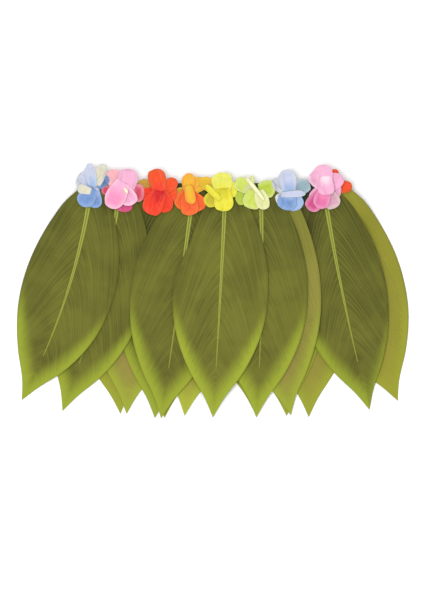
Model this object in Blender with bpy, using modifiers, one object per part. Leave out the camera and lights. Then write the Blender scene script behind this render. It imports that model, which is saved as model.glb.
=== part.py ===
"""Hula skirt of cloth leaves and blossoms round a ribbon waistband, laid flat and seen from above.

X runs along the waistband, Y points from the leaf tips to the waistband, Z is up from the surface.
"""

import math

import bmesh
import bpy
import numpy as np
from mathutils import Matrix, Vector
from mathutils.bvhtree import BVHTree

MM = 0.001

# Cloth and gaps, in millimetres
LEAF_WALL = 1.0
PETAL_WALL = 1.0
BAND_WALL = 1.2
RIB_WALL = 1.2
GAP = 0.3

# The waistband ribbon, pressed flat
BAND_LEFT = -194.0
BAND_RIGHT = 200.0
BAND_TOP = 155.0
BAND_BOTTOM = 127.0
BAND_HEIGHT = 5.0
BAND_FOLD_STEPS = 8

# How far a leaf's midrib stands above its edges
FRONT_CROWN = 3.0
BACK_CROWN = 0.0
FRONT_ROWS = 14
BACK_ROWS = 11
FRONT_COLUMNS = (-1.0, -0.68, -0.34, 0.0, 0.34, 0.68, 1.0)
BACK_COLUMNS = (-1.0, -0.5, 0.0, 0.5, 1.0)
# How far a leaf's rows crowd towards its two ends, as a share of its length
ROW_CROWDING = 0.035

# The midrib strip
RIB_START = 0.04
RIB_END = 0.77
RIB_HALF_WIDTH_ROOT = 3.8
RIB_HALF_WIDTH_TIP = 1.0
RIB_CREST = 0.6

# How far one layer spreads under the next, then the length over which it softens
LEAF_REACH = 8.0
LEAF_SOFTEN = 20.0
PETAL_REACH = 4.0
PETAL_SOFTEN = 2.5
BAND_REACH = 12.5
# How often a sheet is lifted off what it still touches
SETTLE_ROUNDS = 14
SETTLE_SPARE = 0.12
TOUCH = 0.02
LEAF_STEP = 2.5
PETAL_STEP = 1.0

# Petal rings
PETAL_STEPS = 30
BACK_PETAL_STEPS = 24
PETAL_RINGS = (0.4, 0.75, 1.0)
BACK_PETAL_RINGS = (0.5, 1.0)
PETAL_CENTRE = 0.56
CORE_SHARE = 0.42
UNDER_RISE = 6.0
OVER_RISE = 11.0
PETAL_DROOP = 1.0
# Power by which a petal curls up from the hub to its tip
PETAL_CURL = 1.6

# Half width of a leaf down its length, as a share of its widest half, on a smooth curve
LEAF_OUTLINE_COLUMNS = ("length_share", "width_share")
LEAF_OUTLINE = (
    (0.00, 0.24),
    (0.07, 0.51),
    (0.15, 0.70),
    (0.26, 0.88),
    (0.46, 1.00),
    (0.64, 0.88),
    (0.80, 0.56),
    (0.92, 0.19),
    (1.00, 0.00),
)

# Where on the band the leaves' roots are sewn, and half the width of a leaf of the back
FRONT_ROOT_Y = 146.0
BACK_ROOT_Y = 143.0
BACK_HALF = 65.0
# A left side gathered at the root is full again this far down the leaf, in shares of its length
GATHER_FROM = 0.20
GATHER_TO = 0.45

# One row per leaf, in the order they are laid, in millimetres, the gather as a share of the half width
LEAF_COLUMNS = (
    "name",
    "root_x",
    "root_y",
    "tip_x",
    "tip_y",
    "bow",
    "left_half",
    "right_half",
    "left_gather",
)
BACK_LEAVES = (
    ("leaf_back_16", -146, BACK_ROOT_Y, -133, -179, 0, BACK_HALF, BACK_HALF, 0.0),
    ("leaf_back_14", -50, BACK_ROOT_Y, -69, -185, 0, BACK_HALF, BACK_HALF, 0.0),
    ("leaf_back_12", 46, BACK_ROOT_Y, 62, -178, 0, BACK_HALF, BACK_HALF, 0.0),
    ("leaf_back_10", 142, BACK_ROOT_Y, 140, -184, 0, BACK_HALF, BACK_HALF, 0.0),
    ("leaf_back_15", -98, BACK_ROOT_Y, -124, -179, 0, BACK_HALF, BACK_HALF, 0.0),
    ("leaf_back_13", -2, BACK_ROOT_Y, -40, -182, 0, BACK_HALF, BACK_HALF, 0.0),
    ("leaf_back_11", 94, BACK_ROOT_Y, 108, -182, 0, BACK_HALF, BACK_HALF, 0.0),
)
FRONT_LEAVES = (
    ("leaf_fold_9", 183, FRONT_ROOT_Y, 269, -160, -10, 68, 66, 0.0),
    ("leaf_front_3", -79, FRONT_ROOT_Y, -83, -185, 5, 66, 66, 0.0),
    ("leaf_front_8", 161, FRONT_ROOT_Y, 228, -173, -4, 66, 64, 0.0),
    ("leaf_front_2", -133, FRONT_ROOT_Y, -217, -175, 9, 66, 66, 0.0),
    ("leaf_front_7", 94, FRONT_ROOT_Y, 114, -181, -10, 66, 64, 0.0),
    ("leaf_front_1", -175, FRONT_ROOT_Y, -276, -159, 14, 67, 66, 0.0),
    ("leaf_front_4", -27, FRONT_ROOT_Y, -74, -185, 1, 70, 66, 0.0),
    ("leaf_front_6", 70, FRONT_ROOT_Y, 64, -184, 4, 68, 67, 0.0),
    ("leaf_front_5", 19, FRONT_ROOT_Y, 1, -184, 1, 69, 69, 0.2),
)

# One row per whorl: name, hub, then its petals as (reach_x, reach_y, half_width) from the hub
PETAL_COLUMNS = ("reach_x", "reach_y", "half_width")
UNDER_WHORLS = (
    ("blossom_fold_9", 180, 152, ((-2, 24, 6), (22, -1, 9), (-9, -8, 7))),
    ("blossom_1_under", -172, 148, (
        (-24, 12, 9),
        (-20, 20, 9),
        (-6, 35, 9),
        (15, 34, 9),
        (22, 16, 8),
    )),
    ("blossom_3_under", -75, 142, (
        (-32, 14, 9),
        (-29, -6, 10),
        (24, -6, 12),
        (24, 17, 10),
        (-8, 33, 13),
        (10, -29, 13),
        (-16, -32, 15),
    )),
    ("blossom_5_under", 14, 143, ((-33, 16, 10), (22, 4, 12), (-23, -20, 11), (4, -29, 14))),
    ("blossom_7_under", 112, 142, ((-24, 17, 10), (29, 12, 11), (-6, 32, 13), (-20, -13, 9))),
    ("blossom_2_under", -127, 143, (
        (-33, 2, 7),
        (29, -3, 13),
        (-22, 30, 13),
        (8, 32, 15),
        (-1, -30, 12),
    )),
    ("blossom_4_under", -35, 142, (
        (-18, 0, 7),
        (24, 16, 11),
        (2, 27, 10),
        (23, -24, 11),
        (-12, -25, 12),
        (3, -34, 13),
    )),
    ("blossom_6_under", 62, 144, ((-28, -14, 10), (29, 4, 13), (-29, 13, 11), (-4, 22, 3))),
    ("blossom_8_under", 164, 145, ((-7, 36, 15), (-20, 27, 11), (23, 20, 12), (22, -4, 12))),
)
OVER_WHORLS = (
    ("blossom_1_over", -175, 145, ((-20, 3, 8), (-14, -23, 13), (7, -26, 10), (14, -8, 8))),
    ("blossom_3_over", -75, 143, (
        (-5, 20, 10),
        (15, 7, 9),
        (10, -18, 9),
        (-10, -20, 9),
        (-17, 4, 8),
    )),
    ("blossom_5_over", 14, 140, ((1, 30, 14), (-23, 12, 6), (3, -16, 10))),
    ("blossom_7_over", 113, 140, ((-12, -24, 12), (8, -27, 13), (20, -10, 10), (-5, 18, 10))),
    ("blossom_2_over", -129, 141, ((-24, -2, 11), (-17, -20, 14), (18, -18, 13))),
    ("blossom_4_over", -34, 146, ((5, -22, 8), (0, 16, 9), (-13, 1, 6))),
    ("blossom_6_over", 62, 143, ((-8, -25, 14), (15, -25, 10), (-22, -10, 8), (-10, 18, 5))),
    ("blossom_8_over", 163, 144, ((-25, -26, 12), (-9, -27, 12), (15, -24, 12), (-3, 18, 9))),
)

# Blossoms of the back, right to left: first hub, pitch along the band, how high each hub stands
BACK_FIRST_NUMBER = 10
BACK_FIRST_X = 142.0
BACK_PITCH = 48.0
BACK_HUB_HEIGHTS = (7.0, 8.5, 7.0, 8.5, 7.0, 9.0, 7.0)
BACK_BLOSSOM_Y = 136.0
BACK_BLOSSOM_REACH = 19.0
BACK_BLOSSOM_PETALS = 5
BACK_PETAL_HALF = 9.0
# Share of the reach at which a back blossom's petals come down to the floor
BACK_FLAT_SHARE = 0.53

# Name, colour, roughness
MATERIAL_COLUMNS = ("name", "colour", "roughness")
MATERIALS = (
    ("leaf_front", (0.16, 0.18, 0.03, 1.0), 0.75),
    ("leaf_back", (0.28, 0.24, 0.09, 1.0), 0.75),
    ("leaf_fold", (0.30, 0.27, 0.07, 1.0), 0.75),
    ("midrib", (0.33, 0.37, 0.08, 1.0), 0.6),
    ("waistband", (0.02, 0.05, 0.02, 1.0), 0.7),
    ("blossom_1", (0.50, 0.58, 0.80, 1.0), 0.7),
    ("blossom_2", (0.90, 0.45, 0.65, 1.0), 0.7),
    ("blossom_3", (0.83, 0.06, 0.02, 1.0), 0.7),
    ("blossom_4", (0.88, 0.20, 0.04, 1.0), 0.7),
    ("blossom_5", (0.78, 0.72, 0.07, 1.0), 0.7),
    ("blossom_6", (0.55, 0.65, 0.15, 1.0), 0.7),
    ("blossom_7", (0.35, 0.52, 0.75, 1.0), 0.7),
    ("blossom_8", (0.87, 0.38, 0.58, 1.0), 0.7),
    ("blossom_fold", (0.85, 0.15, 0.03, 1.0), 0.7),
    ("blossom_back", (0.85, 0.50, 0.55, 1.0), 0.7),
)

# The grid that holds the top of what is already laid
CELL = 2.5
GRID_HALF_X = 320.0
GRID_HALF_Y = 230.0
RAY_FROM = 200.0


def clear_scene():
    for obj in list(bpy.data.objects):
        bpy.data.objects.remove(obj, do_unlink=True)


def make_materials():
    made = {}
    for name, colour, roughness in MATERIALS:
        material = bpy.data.materials.new(name)
        material.use_nodes = True
        shader = material.node_tree.nodes["Principled BSDF"]
        shader.inputs["Base Color"].default_value = colour
        shader.inputs["Roughness"].default_value = roughness
        shader.inputs["Metallic"].default_value = 0.0
        made[name] = material
    return made


def box_spread(grid, half, pick):
    """The grid after `pick` (maximum or mean) over a square window of this half size in cells."""
    for axis in (0, 1):
        layers = [np.roll(grid, step, axis=axis) for step in range(-half, half + 1)]
        grid = pick(np.stack(layers), axis=0)
    return grid


class Pile:
    """Everything laid so far: its pieces, and their highest surface on a grid over the floor."""

    def __init__(self):
        self.xs = np.arange(-GRID_HALF_X, GRID_HALF_X + CELL, CELL)
        self.ys = np.arange(-GRID_HALF_Y, GRID_HALF_Y + CELL, CELL)
        self.top = np.full((len(self.xs), len(self.ys)), -GAP)
        self.pieces = []
        self.corners = []

    def spread(self, reach, soften):
        """The pile's top after it spreads by reach and softens."""
        wide = box_spread(self.top, math.ceil((reach + soften) / CELL), np.max)
        return box_spread(wide, math.floor(soften / CELL), np.mean)

    def heights(self, points, reach, soften):
        """The softened height at each (x, y), linear between the grid's cells."""
        field = self.spread(reach, soften)
        u = (points[:, 0] + GRID_HALF_X) / CELL
        v = (points[:, 1] + GRID_HALF_Y) / CELL
        i = np.floor(u).astype(int)
        j = np.floor(v).astype(int)
        a = u - i
        b = v - j
        low = field[i, j] * (1 - a) + field[i + 1, j] * a
        high = field[i, j + 1] * (1 - a) + field[i + 1, j + 1] * a
        return low * (1 - b) + high * b + GAP

    def below(self, x, y):
        """The highest surface at this point, or as low as lets a sheet lie on the floor."""
        found = -GAP - SETTLE_SPARE
        for tree, low_x, high_x, low_y, high_y in self.pieces:
            if low_x <= x <= high_x and low_y <= y <= high_y:
                height = height_from_above(tree, x, y)
                if height is not None:
                    found = max(found, height)
        return found

    def add(self, tree, points):
        """Adds a piece and raises the grid to it, over the box of its points."""
        low_x, low_y = points.min(axis=0)[:2] - CELL
        high_x, high_y = points.max(axis=0)[:2] + CELL
        self.pieces.append((tree, low_x, high_x, low_y, high_y))
        self.corners += [(x, y) for x, y, _ in points]
        for i in np.flatnonzero((self.xs > low_x) & (self.xs < high_x)):
            for j in np.flatnonzero((self.ys > low_y) & (self.ys < high_y)):
                height = height_from_above(tree, self.xs[i], self.ys[j])
                if height is not None:
                    self.top[i, j] = max(self.top[i, j], height)

    def settle(self, points, faces, step):
        """Lifts a sheet's points until every facet clears the pile by the gap, then seats the sheet."""
        low = points.min(axis=0)
        high = points.max(axis=0)
        across = np.arange(low[0], high[0], step)
        down = np.arange(low[1], high[1], step)
        places = [(x, y) for x in across for y in down]
        places += [(x, y) for x, y in self.corners if low[0] < x < high[0] and low[1] < y < high[1]]
        floors = [self.below(x, y) + GAP + SETTLE_SPARE for x, y in places]
        for _ in range(SETTLE_ROUNDS):
            tree = BVHTree.FromPolygons([Vector(point) for point in points], faces)
            lift = np.zeros(len(points))
            spare = points[:, 2].min()
            for (x, y), floor in zip(places, floors):
                hit, _, face, _ = tree.ray_cast(Vector((x, y, RAY_FROM)), Vector((0.0, 0.0, -1.0)))
                if face is None:
                    continue
                spare = min(spare, hit.z - floor)
                if hit.z < floor - TOUCH:
                    corners = list(faces[face])
                    lift[corners] = np.maximum(lift[corners], floor - hit.z)
            if lift.max() == 0:
                points[:, 2] -= spare
                break
            points[:, 2] += lift
        return points


def height_from_above(tree, x, y):
    """The height in millimetres of the first surface below this point, or None."""
    start = Vector((x * MM, y * MM, RAY_FROM * MM))
    hit = tree.ray_cast(start, Vector((0.0, 0.0, -1.0)))[0]
    return None if hit is None else hit.z / MM


def tree_of(obj):
    graph = bpy.context.evaluated_depsgraph_get()
    return BVHTree.FromObject(obj, graph)


def add_object(name, points, faces, material, collection):
    """A mesh object from points in millimetres."""
    mesh = bpy.data.meshes.new(name)
    mesh.from_pydata([tuple(value * MM for value in point) for point in points], [], faces)
    mesh.update()
    mesh.materials.append(material)
    obj = bpy.data.objects.new(name, mesh)
    collection.objects.link(obj)
    return obj


def face_outward(mesh):
    shell = bmesh.new()
    shell.from_mesh(mesh)
    bmesh.ops.recalc_face_normals(shell, faces=shell.faces)
    shell.to_mesh(mesh)
    shell.free()


def thicken(obj, wall):
    """Gives an open sheet its cloth wall above the sheet, then cuts it into triangles."""
    solid = obj.modifiers.new("cloth_wall", "SOLIDIFY")
    solid.thickness = wall * MM
    solid.offset = 1.0
    solid.use_even_offset = True
    cut = obj.modifiers.new("facets", "TRIANGULATE")
    cut.quad_method = "FIXED"
    bpy.context.view_layer.update()


def smooth_step(value, low, high):
    t = np.clip((value - low) / (high - low), 0.0, 1.0)
    return t * t * (3 - 2 * t)


def smooth_curve(knots, at):
    """Values at these places on the smooth curve through the knots, each given as (place, value)."""
    places, values = np.array(knots).T
    slopes = np.gradient(values, places)
    i = np.clip(np.searchsorted(places, at, side="right") - 1, 0, len(places) - 2)
    step = places[i + 1] - places[i]
    t = (at - places[i]) / step
    start = values[i] * (2 * t**3 - 3 * t**2 + 1) + slopes[i] * step * (t**3 - 2 * t**2 + t)
    return start + values[i + 1] * (3 * t**2 - 2 * t**3) + slopes[i + 1] * step * (t**3 - t**2)


def leaf_half(leaf, shares, column):
    """Half width of the leaf on this column's side, drawn in near the root by the left side's gather."""
    width = smooth_curve(LEAF_OUTLINE, shares)
    if column >= 0:
        return leaf["right_half"] * width
    drawn_in = leaf["left_gather"] * (1 - smooth_step(shares, GATHER_FROM, GATHER_TO))
    return leaf["left_half"] * width * (1 - drawn_in)


def leaf_midline(leaf, shares):
    """Points down the leaf's middle and the sideways direction at each, pointing right."""
    root = np.array((leaf["root_x"], leaf["root_y"]))
    tip = np.array((leaf["tip_x"], leaf["tip_y"]))
    length = np.linalg.norm(tip - root)
    along = (tip - root) / length
    side = np.array((-along[1], along[0]))
    swing = leaf["bow"] * 4 * shares * (1 - shares)
    middle = root + np.outer(shares * length, along) + np.outer(swing, side)
    slope = leaf["bow"] * 4 * (1 - 2 * shares)
    heading = np.outer(np.full(len(shares), length), along) + np.outer(slope, side)
    heading = heading / np.linalg.norm(heading, axis=1)[:, None]
    return middle, np.stack((-heading[:, 1], heading[:, 0]), axis=1)


def leaf_plan(leaf, shares, column):
    """(x, y) of the leaf at these shares of its length and one share of its half width."""
    middle, side = leaf_midline(leaf, shares)
    return middle + side * (column * leaf_half(leaf, shares, column))[:, None]


def row_shares(rows):
    """Shares of the length, closer together at both ends where the outline turns."""
    even = np.linspace(0.0, 1.0, rows)
    return even - ROW_CROWDING * np.sin(2 * math.pi * even)


def split(quad):
    a, b, c, d = quad
    return [(a, b, c), (a, c, d)]


def grid_faces(rows, columns):
    """Triangles between full rows, then from the last full row to the tip point."""
    faces = []
    for row in range(rows - 1):
        for column in range(columns - 1):
            start = row * columns + column
            faces += split((start, start + columns, start + columns + 1, start + 1))
    last = (rows - 1) * columns
    tip = rows * columns
    faces += [(last + column, tip, last + column + 1) for column in range(columns - 1)]
    return faces


def lay_leaf(leaf, rows, columns, crown, pile, material, collection):
    """One leaf draped on the pile."""
    shares = row_shares(rows)
    plan = np.stack([leaf_plan(leaf, shares, column) for column in columns], axis=1)
    rise = np.outer(np.sin(math.pi * shares), 1 - np.array(columns) ** 2) * crown
    flat = np.concatenate((plan[:-1].reshape(-1, 2), plan[-1:, 0]))
    rises = np.concatenate((rise[:-1].reshape(-1), rise[-1:, 0]))
    heights = pile.heights(flat, LEAF_REACH, LEAF_SOFTEN) + rises
    faces = grid_faces(rows - 1, len(columns))
    points = pile.settle(np.column_stack((flat, heights)), faces, LEAF_STEP)
    obj = add_object(leaf["name"], points, faces, material, collection)
    thicken(obj, LEAF_WALL)
    tree = tree_of(obj)
    pile.add(tree, points)
    return tree


def lay_midrib(leaf, leaf_tree, pile, material, collection):
    """The stem strip, made from the points of its leaf and moved out by the gap."""
    rows = row_shares(FRONT_ROWS)
    shares = rows[(rows > RIB_START) & (rows < RIB_END)]
    middle, side = leaf_midline(leaf, shares)
    halves = np.linspace(RIB_HALF_WIDTH_ROOT, RIB_HALF_WIDTH_TIP, len(shares))
    points = []
    for centre, across, half in zip(middle, side, halves):
        for offset in (-1.0, 0.0, 1.0):
            x, y = centre + across * offset * half
            crest = 0.0 if offset else RIB_CREST
            points.append((x, y, height_from_above(leaf_tree, x, y) + GAP + crest))
    faces = []
    for row in range(len(shares) - 1):
        for column in (0, 1):
            start = row * 3 + column
            faces += split((start, start + 3, start + 4, start + 1))
    name = "midrib_" + leaf["name"].rsplit("_", 1)[1]
    obj = add_object(name, points, faces, material, collection)
    thicken(obj, RIB_WALL)
    pile.add(tree_of(obj), np.array(points))


def make_band(pile, material, collection):
    """The ribbon loop pressed flat: a round-ended ring of cloth drawn along Y."""
    middle = (BAND_TOP + BAND_BOTTOM) / 2
    row = np.array([(x, middle) for x in np.arange(BAND_LEFT, BAND_RIGHT, CELL)])
    below = pile.heights(row, BAND_REACH, 0.0).max()
    points = []
    faces = []
    for inset in (0.0, BAND_WALL):
        radius = BAND_HEIGHT / 2 - inset
        ring = []
        for end_x, start_angle in ((BAND_RIGHT, -90.0), (BAND_LEFT, 90.0)):
            centre_x = end_x - math.copysign(BAND_HEIGHT / 2, end_x)
            for step in range(BAND_FOLD_STEPS + 1):
                angle = math.radians(start_angle + 180.0 * step / BAND_FOLD_STEPS)
                z = below + BAND_HEIGHT / 2 + radius * math.sin(angle)
                ring.append((centre_x + radius * math.cos(angle), z))
        for y in (BAND_BOTTOM, BAND_TOP):
            points += [(x, y, z) for x, z in ring]
    count = 2 * (BAND_FOLD_STEPS + 1)
    outer_low, outer_high, inner_low, inner_high = (count * part for part in range(4))
    for step in range(count):
        after = (step + 1) % count
        faces.append((outer_low + step, outer_high + step, outer_high + after, outer_low + after))
        faces.append((inner_low + step, inner_low + after, inner_high + after, inner_high + step))
        faces.append((outer_low + step, outer_low + after, inner_low + after, inner_low + step))
        faces.append((outer_high + step, inner_high + step, inner_high + after, outer_high + after))
    obj = add_object("waistband", points, faces, material, collection)
    face_outward(obj.data)
    cut = obj.modifiers.new("facets", "TRIANGULATE")
    cut.quad_method = "FIXED"
    bpy.context.view_layer.update()
    pile.add(tree_of(obj), np.array(points))


def petal_edge(petal, angle):
    """How far a ray from the hub at this angle goes before it leaves the petal's oval."""
    reach_x, reach_y, half_width = petal
    reach = math.hypot(reach_x, reach_y)
    turn = angle - math.atan2(reach_y, reach_x)
    along = reach * (1 - PETAL_CENTRE)
    centre = reach * PETAL_CENTRE
    a = (math.cos(turn) / along) ** 2 + (math.sin(turn) / half_width) ** 2
    b = math.cos(turn) * centre / along**2
    c = (centre / along) ** 2 - 1
    inside = b * b - a * c
    if inside < 0 or b <= 0:
        return 0.0
    return (b + math.sqrt(inside)) / a


def whorl_outline(petals, steps):
    """Radius of the ring of petals at equal angles round the hub."""
    core = CORE_SHARE * sum(math.hypot(x, y) for x, y, _ in petals) / len(petals)
    angles = np.linspace(0.0, 2 * math.pi, steps, endpoint=False)
    radii = [max([core] + [petal_edge(petal, angle) for petal in petals]) for angle in angles]
    return angles, np.array(radii)


def whorl_points(hub_x, hub_y, petals, steps, rings):
    """(x, y) of the hub and rings, with the radius share of each point."""
    angles, radii = whorl_outline(petals, steps)
    flat = [(hub_x, hub_y)]
    shares = [0.0]
    longest = radii.max()
    for ring in rings:
        for angle, radius in zip(angles, radii):
            flat.append((hub_x + ring * radius * math.cos(angle), hub_y + ring * radius * math.sin(angle)))
            shares.append(ring * radius / longest)
    return np.array(flat), np.array(shares)


def whorl_faces(steps, rings):
    faces = [(0, 1 + step, 1 + (step + 1) % steps) for step in range(steps)]
    for ring in range(len(rings) - 1):
        inner = 1 + ring * steps
        outer = inner + steps
        for step in range(steps):
            after = (step + 1) % steps
            faces += split((inner + step, outer + step, outer + after, inner + after))
    return faces


def lay_whorl(name, hub_x, hub_y, petals, rise, pile, material, collection):
    """A ring of petals that opens upward like a saucer."""
    flat, shares = whorl_points(hub_x, hub_y, petals, PETAL_STEPS, PETAL_RINGS)
    rest = pile.heights(flat, PETAL_REACH, PETAL_SOFTEN)
    heights = np.maximum(rest, rest[0] - PETAL_DROOP) + rise * shares**PETAL_CURL
    faces = whorl_faces(PETAL_STEPS, PETAL_RINGS)
    points = pile.settle(np.column_stack((flat, heights)), faces, PETAL_STEP)
    obj = add_object(name, points, faces, material, collection)
    thicken(obj, PETAL_WALL)
    pile.add(tree_of(obj), points)


def lay_back_blossom(name, hub_x, hub_height, pile, material, collection):
    """A blossom face down: petals flat on the floor, hub raised to the band."""
    petals = []
    for petal in range(BACK_BLOSSOM_PETALS):
        angle = math.radians(90.0 + 360.0 * petal / BACK_BLOSSOM_PETALS)
        x = BACK_BLOSSOM_REACH * math.cos(angle)
        y = BACK_BLOSSOM_REACH * math.sin(angle)
        petals.append((x, y, BACK_PETAL_HALF))
    flat, shares = whorl_points(hub_x, BACK_BLOSSOM_Y, petals, BACK_PETAL_STEPS, BACK_PETAL_RINGS)
    lift = hub_height * np.clip(1 - shares / BACK_FLAT_SHARE, 0.0, 1.0)
    points = np.column_stack((flat, lift))
    faces = whorl_faces(BACK_PETAL_STEPS, BACK_PETAL_RINGS)
    obj = add_object(name, points, faces, material, collection)
    thicken(obj, PETAL_WALL)
    pile.add(tree_of(obj), points)


def lay_back(pile, materials, skirt):
    for place, hub_height in enumerate(BACK_HUB_HEIGHTS):
        name = f"blossom_back_{BACK_FIRST_NUMBER + place}"
        hub_x = BACK_FIRST_X - place * BACK_PITCH
        lay_back_blossom(name, hub_x, hub_height, pile, materials["blossom_back"], skirt)
    for row in BACK_LEAVES:
        leaf = dict(zip(LEAF_COLUMNS, row))
        material = materials["leaf_back"]
        lay_leaf(leaf, BACK_ROWS, BACK_COLUMNS, BACK_CROWN, pile, material, skirt)


def lay_front(pile, materials, skirt):
    for row in FRONT_LEAVES:
        leaf = dict(zip(LEAF_COLUMNS, row))
        material = materials["leaf_fold" if "fold" in leaf["name"] else "leaf_front"]
        tree = lay_leaf(leaf, FRONT_ROWS, FRONT_COLUMNS, FRONT_CROWN, pile, material, skirt)
        lay_midrib(leaf, tree, pile, materials["midrib"], skirt)


def lay_blossoms(pile, materials, skirt):
    for whorls, rise in ((UNDER_WHORLS, UNDER_RISE), (OVER_WHORLS, OVER_RISE)):
        for name, hub_x, hub_y, petals in whorls:
            material = materials["_".join(name.split("_")[:2])]
            lay_whorl(name, hub_x, hub_y, petals, rise, pile, material, skirt)


def centre_on_floor(collection):
    """Moves every piece so that the skirt's box is centred on the origin and stands on z = 0."""
    corners = []
    graph = bpy.context.evaluated_depsgraph_get()
    for obj in collection.objects:
        corners += [tuple(vertex.co) for vertex in obj.evaluated_get(graph).data.vertices]
    corners = np.array(corners)
    low = corners.min(axis=0)
    high = corners.max(axis=0)
    shift = Vector((-(low[0] + high[0]) / 2, -(low[1] + high[1]) / 2, -low[2]))
    for obj in collection.objects:
        obj.data.transform(Matrix.Translation(shift))


def main():
    clear_scene()
    skirt = bpy.data.collections.new("hula_skirt")
    bpy.context.scene.collection.children.link(skirt)
    materials = make_materials()
    pile = Pile()
    lay_back(pile, materials, skirt)
    make_band(pile, materials["waistband"], skirt)
    lay_front(pile, materials, skirt)
    lay_blossoms(pile, materials, skirt)
    centre_on_floor(skirt)


main()
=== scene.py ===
"""Leaf hula skirt laid flat on a pale floor and seen from straight above.

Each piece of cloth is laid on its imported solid, in the order in which the skirt's layers lie.
X runs along the waistband, Y points from the leaf tips to the waistband, Z is up from the floor.
Tables are in millimetres and the meshes are in metres.
"""

import math

import bmesh
import bpy
import numpy as np
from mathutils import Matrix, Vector
from mathutils.bvhtree import BVHTree


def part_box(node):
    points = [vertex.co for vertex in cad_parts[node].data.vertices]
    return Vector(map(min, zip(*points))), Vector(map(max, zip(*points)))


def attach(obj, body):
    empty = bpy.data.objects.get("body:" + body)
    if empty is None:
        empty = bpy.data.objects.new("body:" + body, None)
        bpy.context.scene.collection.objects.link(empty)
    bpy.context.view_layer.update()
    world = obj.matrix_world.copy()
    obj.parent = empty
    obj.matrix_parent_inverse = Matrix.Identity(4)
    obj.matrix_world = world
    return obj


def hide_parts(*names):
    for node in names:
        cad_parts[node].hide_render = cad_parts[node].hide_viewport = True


bl_info = {
    "name": "Leaf hula skirt",
    "version": (1, 0, 0),
    "blender": (4, 5, 0),
    "location": "View3D > Sidebar > Hula skirt",
    "description": "Lays a hula skirt's leaves, stems, waistband and blossoms on their packed solids",
    "category": "Object",
}

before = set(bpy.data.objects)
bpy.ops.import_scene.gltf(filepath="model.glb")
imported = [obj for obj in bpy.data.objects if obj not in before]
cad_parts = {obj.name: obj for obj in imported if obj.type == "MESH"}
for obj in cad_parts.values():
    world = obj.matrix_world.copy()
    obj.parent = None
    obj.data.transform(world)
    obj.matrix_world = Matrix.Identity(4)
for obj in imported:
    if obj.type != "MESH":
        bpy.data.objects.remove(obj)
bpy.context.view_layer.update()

MM = 0.001

# The waistband's ends and edges as the solids have them, which place the tables in the frame
BAND_LEFT = -194.0
BAND_RIGHT = 200.0
BAND_TOP = 155.0
BAND_BOTTOM = 127.0
BAND_WALL = 1.2

# Rows and columns at which the solids of the leaves were cut
SOLID_FRONT_ROWS = 14
SOLID_BACK_ROWS = 11
SOLID_FRONT_COLUMNS = (-1.0, -0.68, -0.34, 0.0, 0.34, 0.68, 1.0)
SOLID_BACK_COLUMNS = (-1.0, -0.5, 0.0, 0.5, 1.0)
ROW_CROWDING = 0.035
WALL_SPARE = 0.15

# Half width of a leaf down its length, as a share of its widest half, on a smooth curve
LEAF_OUTLINE = (
    (0.00, 0.24),
    (0.07, 0.51),
    (0.15, 0.70),
    (0.26, 0.88),
    (0.46, 1.00),
    (0.64, 0.88),
    (0.80, 0.56),
    (0.92, 0.19),
    (1.00, 0.00),
)

# Where on the band the leaves' roots are sewn, and half the width of a leaf of the back
FRONT_ROOT_Y = 146.0
BACK_ROOT_Y = 143.0
BACK_HALF = 65.0
# A left side gathered at the root is full again this far down the leaf, in shares of its length
GATHER_FROM = 0.20
GATHER_TO = 0.45

# One row per leaf, in the order they are laid, in millimetres, the gather as a share of the half width
LEAF_COLUMNS = (
    "name",
    "root_x",
    "root_y",
    "tip_x",
    "tip_y",
    "bow",
    "left_half",
    "right_half",
    "left_gather",
)
BACK_LEAVES = (
    ("leaf_back_16", -146, BACK_ROOT_Y, -133, -179, 0, BACK_HALF, BACK_HALF, 0.0),
    ("leaf_back_14", -50, BACK_ROOT_Y, -69, -185, 0, BACK_HALF, BACK_HALF, 0.0),
    ("leaf_back_12", 46, BACK_ROOT_Y, 62, -178, 0, BACK_HALF, BACK_HALF, 0.0),
    ("leaf_back_10", 142, BACK_ROOT_Y, 140, -184, 0, BACK_HALF, BACK_HALF, 0.0),
    ("leaf_back_15", -98, BACK_ROOT_Y, -124, -179, 0, BACK_HALF, BACK_HALF, 0.0),
    ("leaf_back_13", -2, BACK_ROOT_Y, -40, -182, 0, BACK_HALF, BACK_HALF, 0.0),
    ("leaf_back_11", 94, BACK_ROOT_Y, 108, -182, 0, BACK_HALF, BACK_HALF, 0.0),
)
FRONT_LEAVES = (
    ("leaf_fold_9", 183, FRONT_ROOT_Y, 269, -160, -10, 68, 66, 0.0),
    ("leaf_front_3", -79, FRONT_ROOT_Y, -83, -185, 5, 66, 66, 0.0),
    ("leaf_front_8", 161, FRONT_ROOT_Y, 228, -173, -4, 66, 64, 0.0),
    ("leaf_front_2", -133, FRONT_ROOT_Y, -217, -175, 9, 66, 66, 0.0),
    ("leaf_front_7", 94, FRONT_ROOT_Y, 114, -181, -10, 66, 64, 0.0),
    ("leaf_front_1", -175, FRONT_ROOT_Y, -276, -159, 14, 67, 66, 0.0),
    ("leaf_front_4", -27, FRONT_ROOT_Y, -74, -185, 1, 70, 66, 0.0),
    ("leaf_front_6", 70, FRONT_ROOT_Y, 64, -184, 4, 68, 67, 0.0),
    ("leaf_front_5", 19, FRONT_ROOT_Y, 1, -184, 1, 69, 69, 0.2),
)

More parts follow.
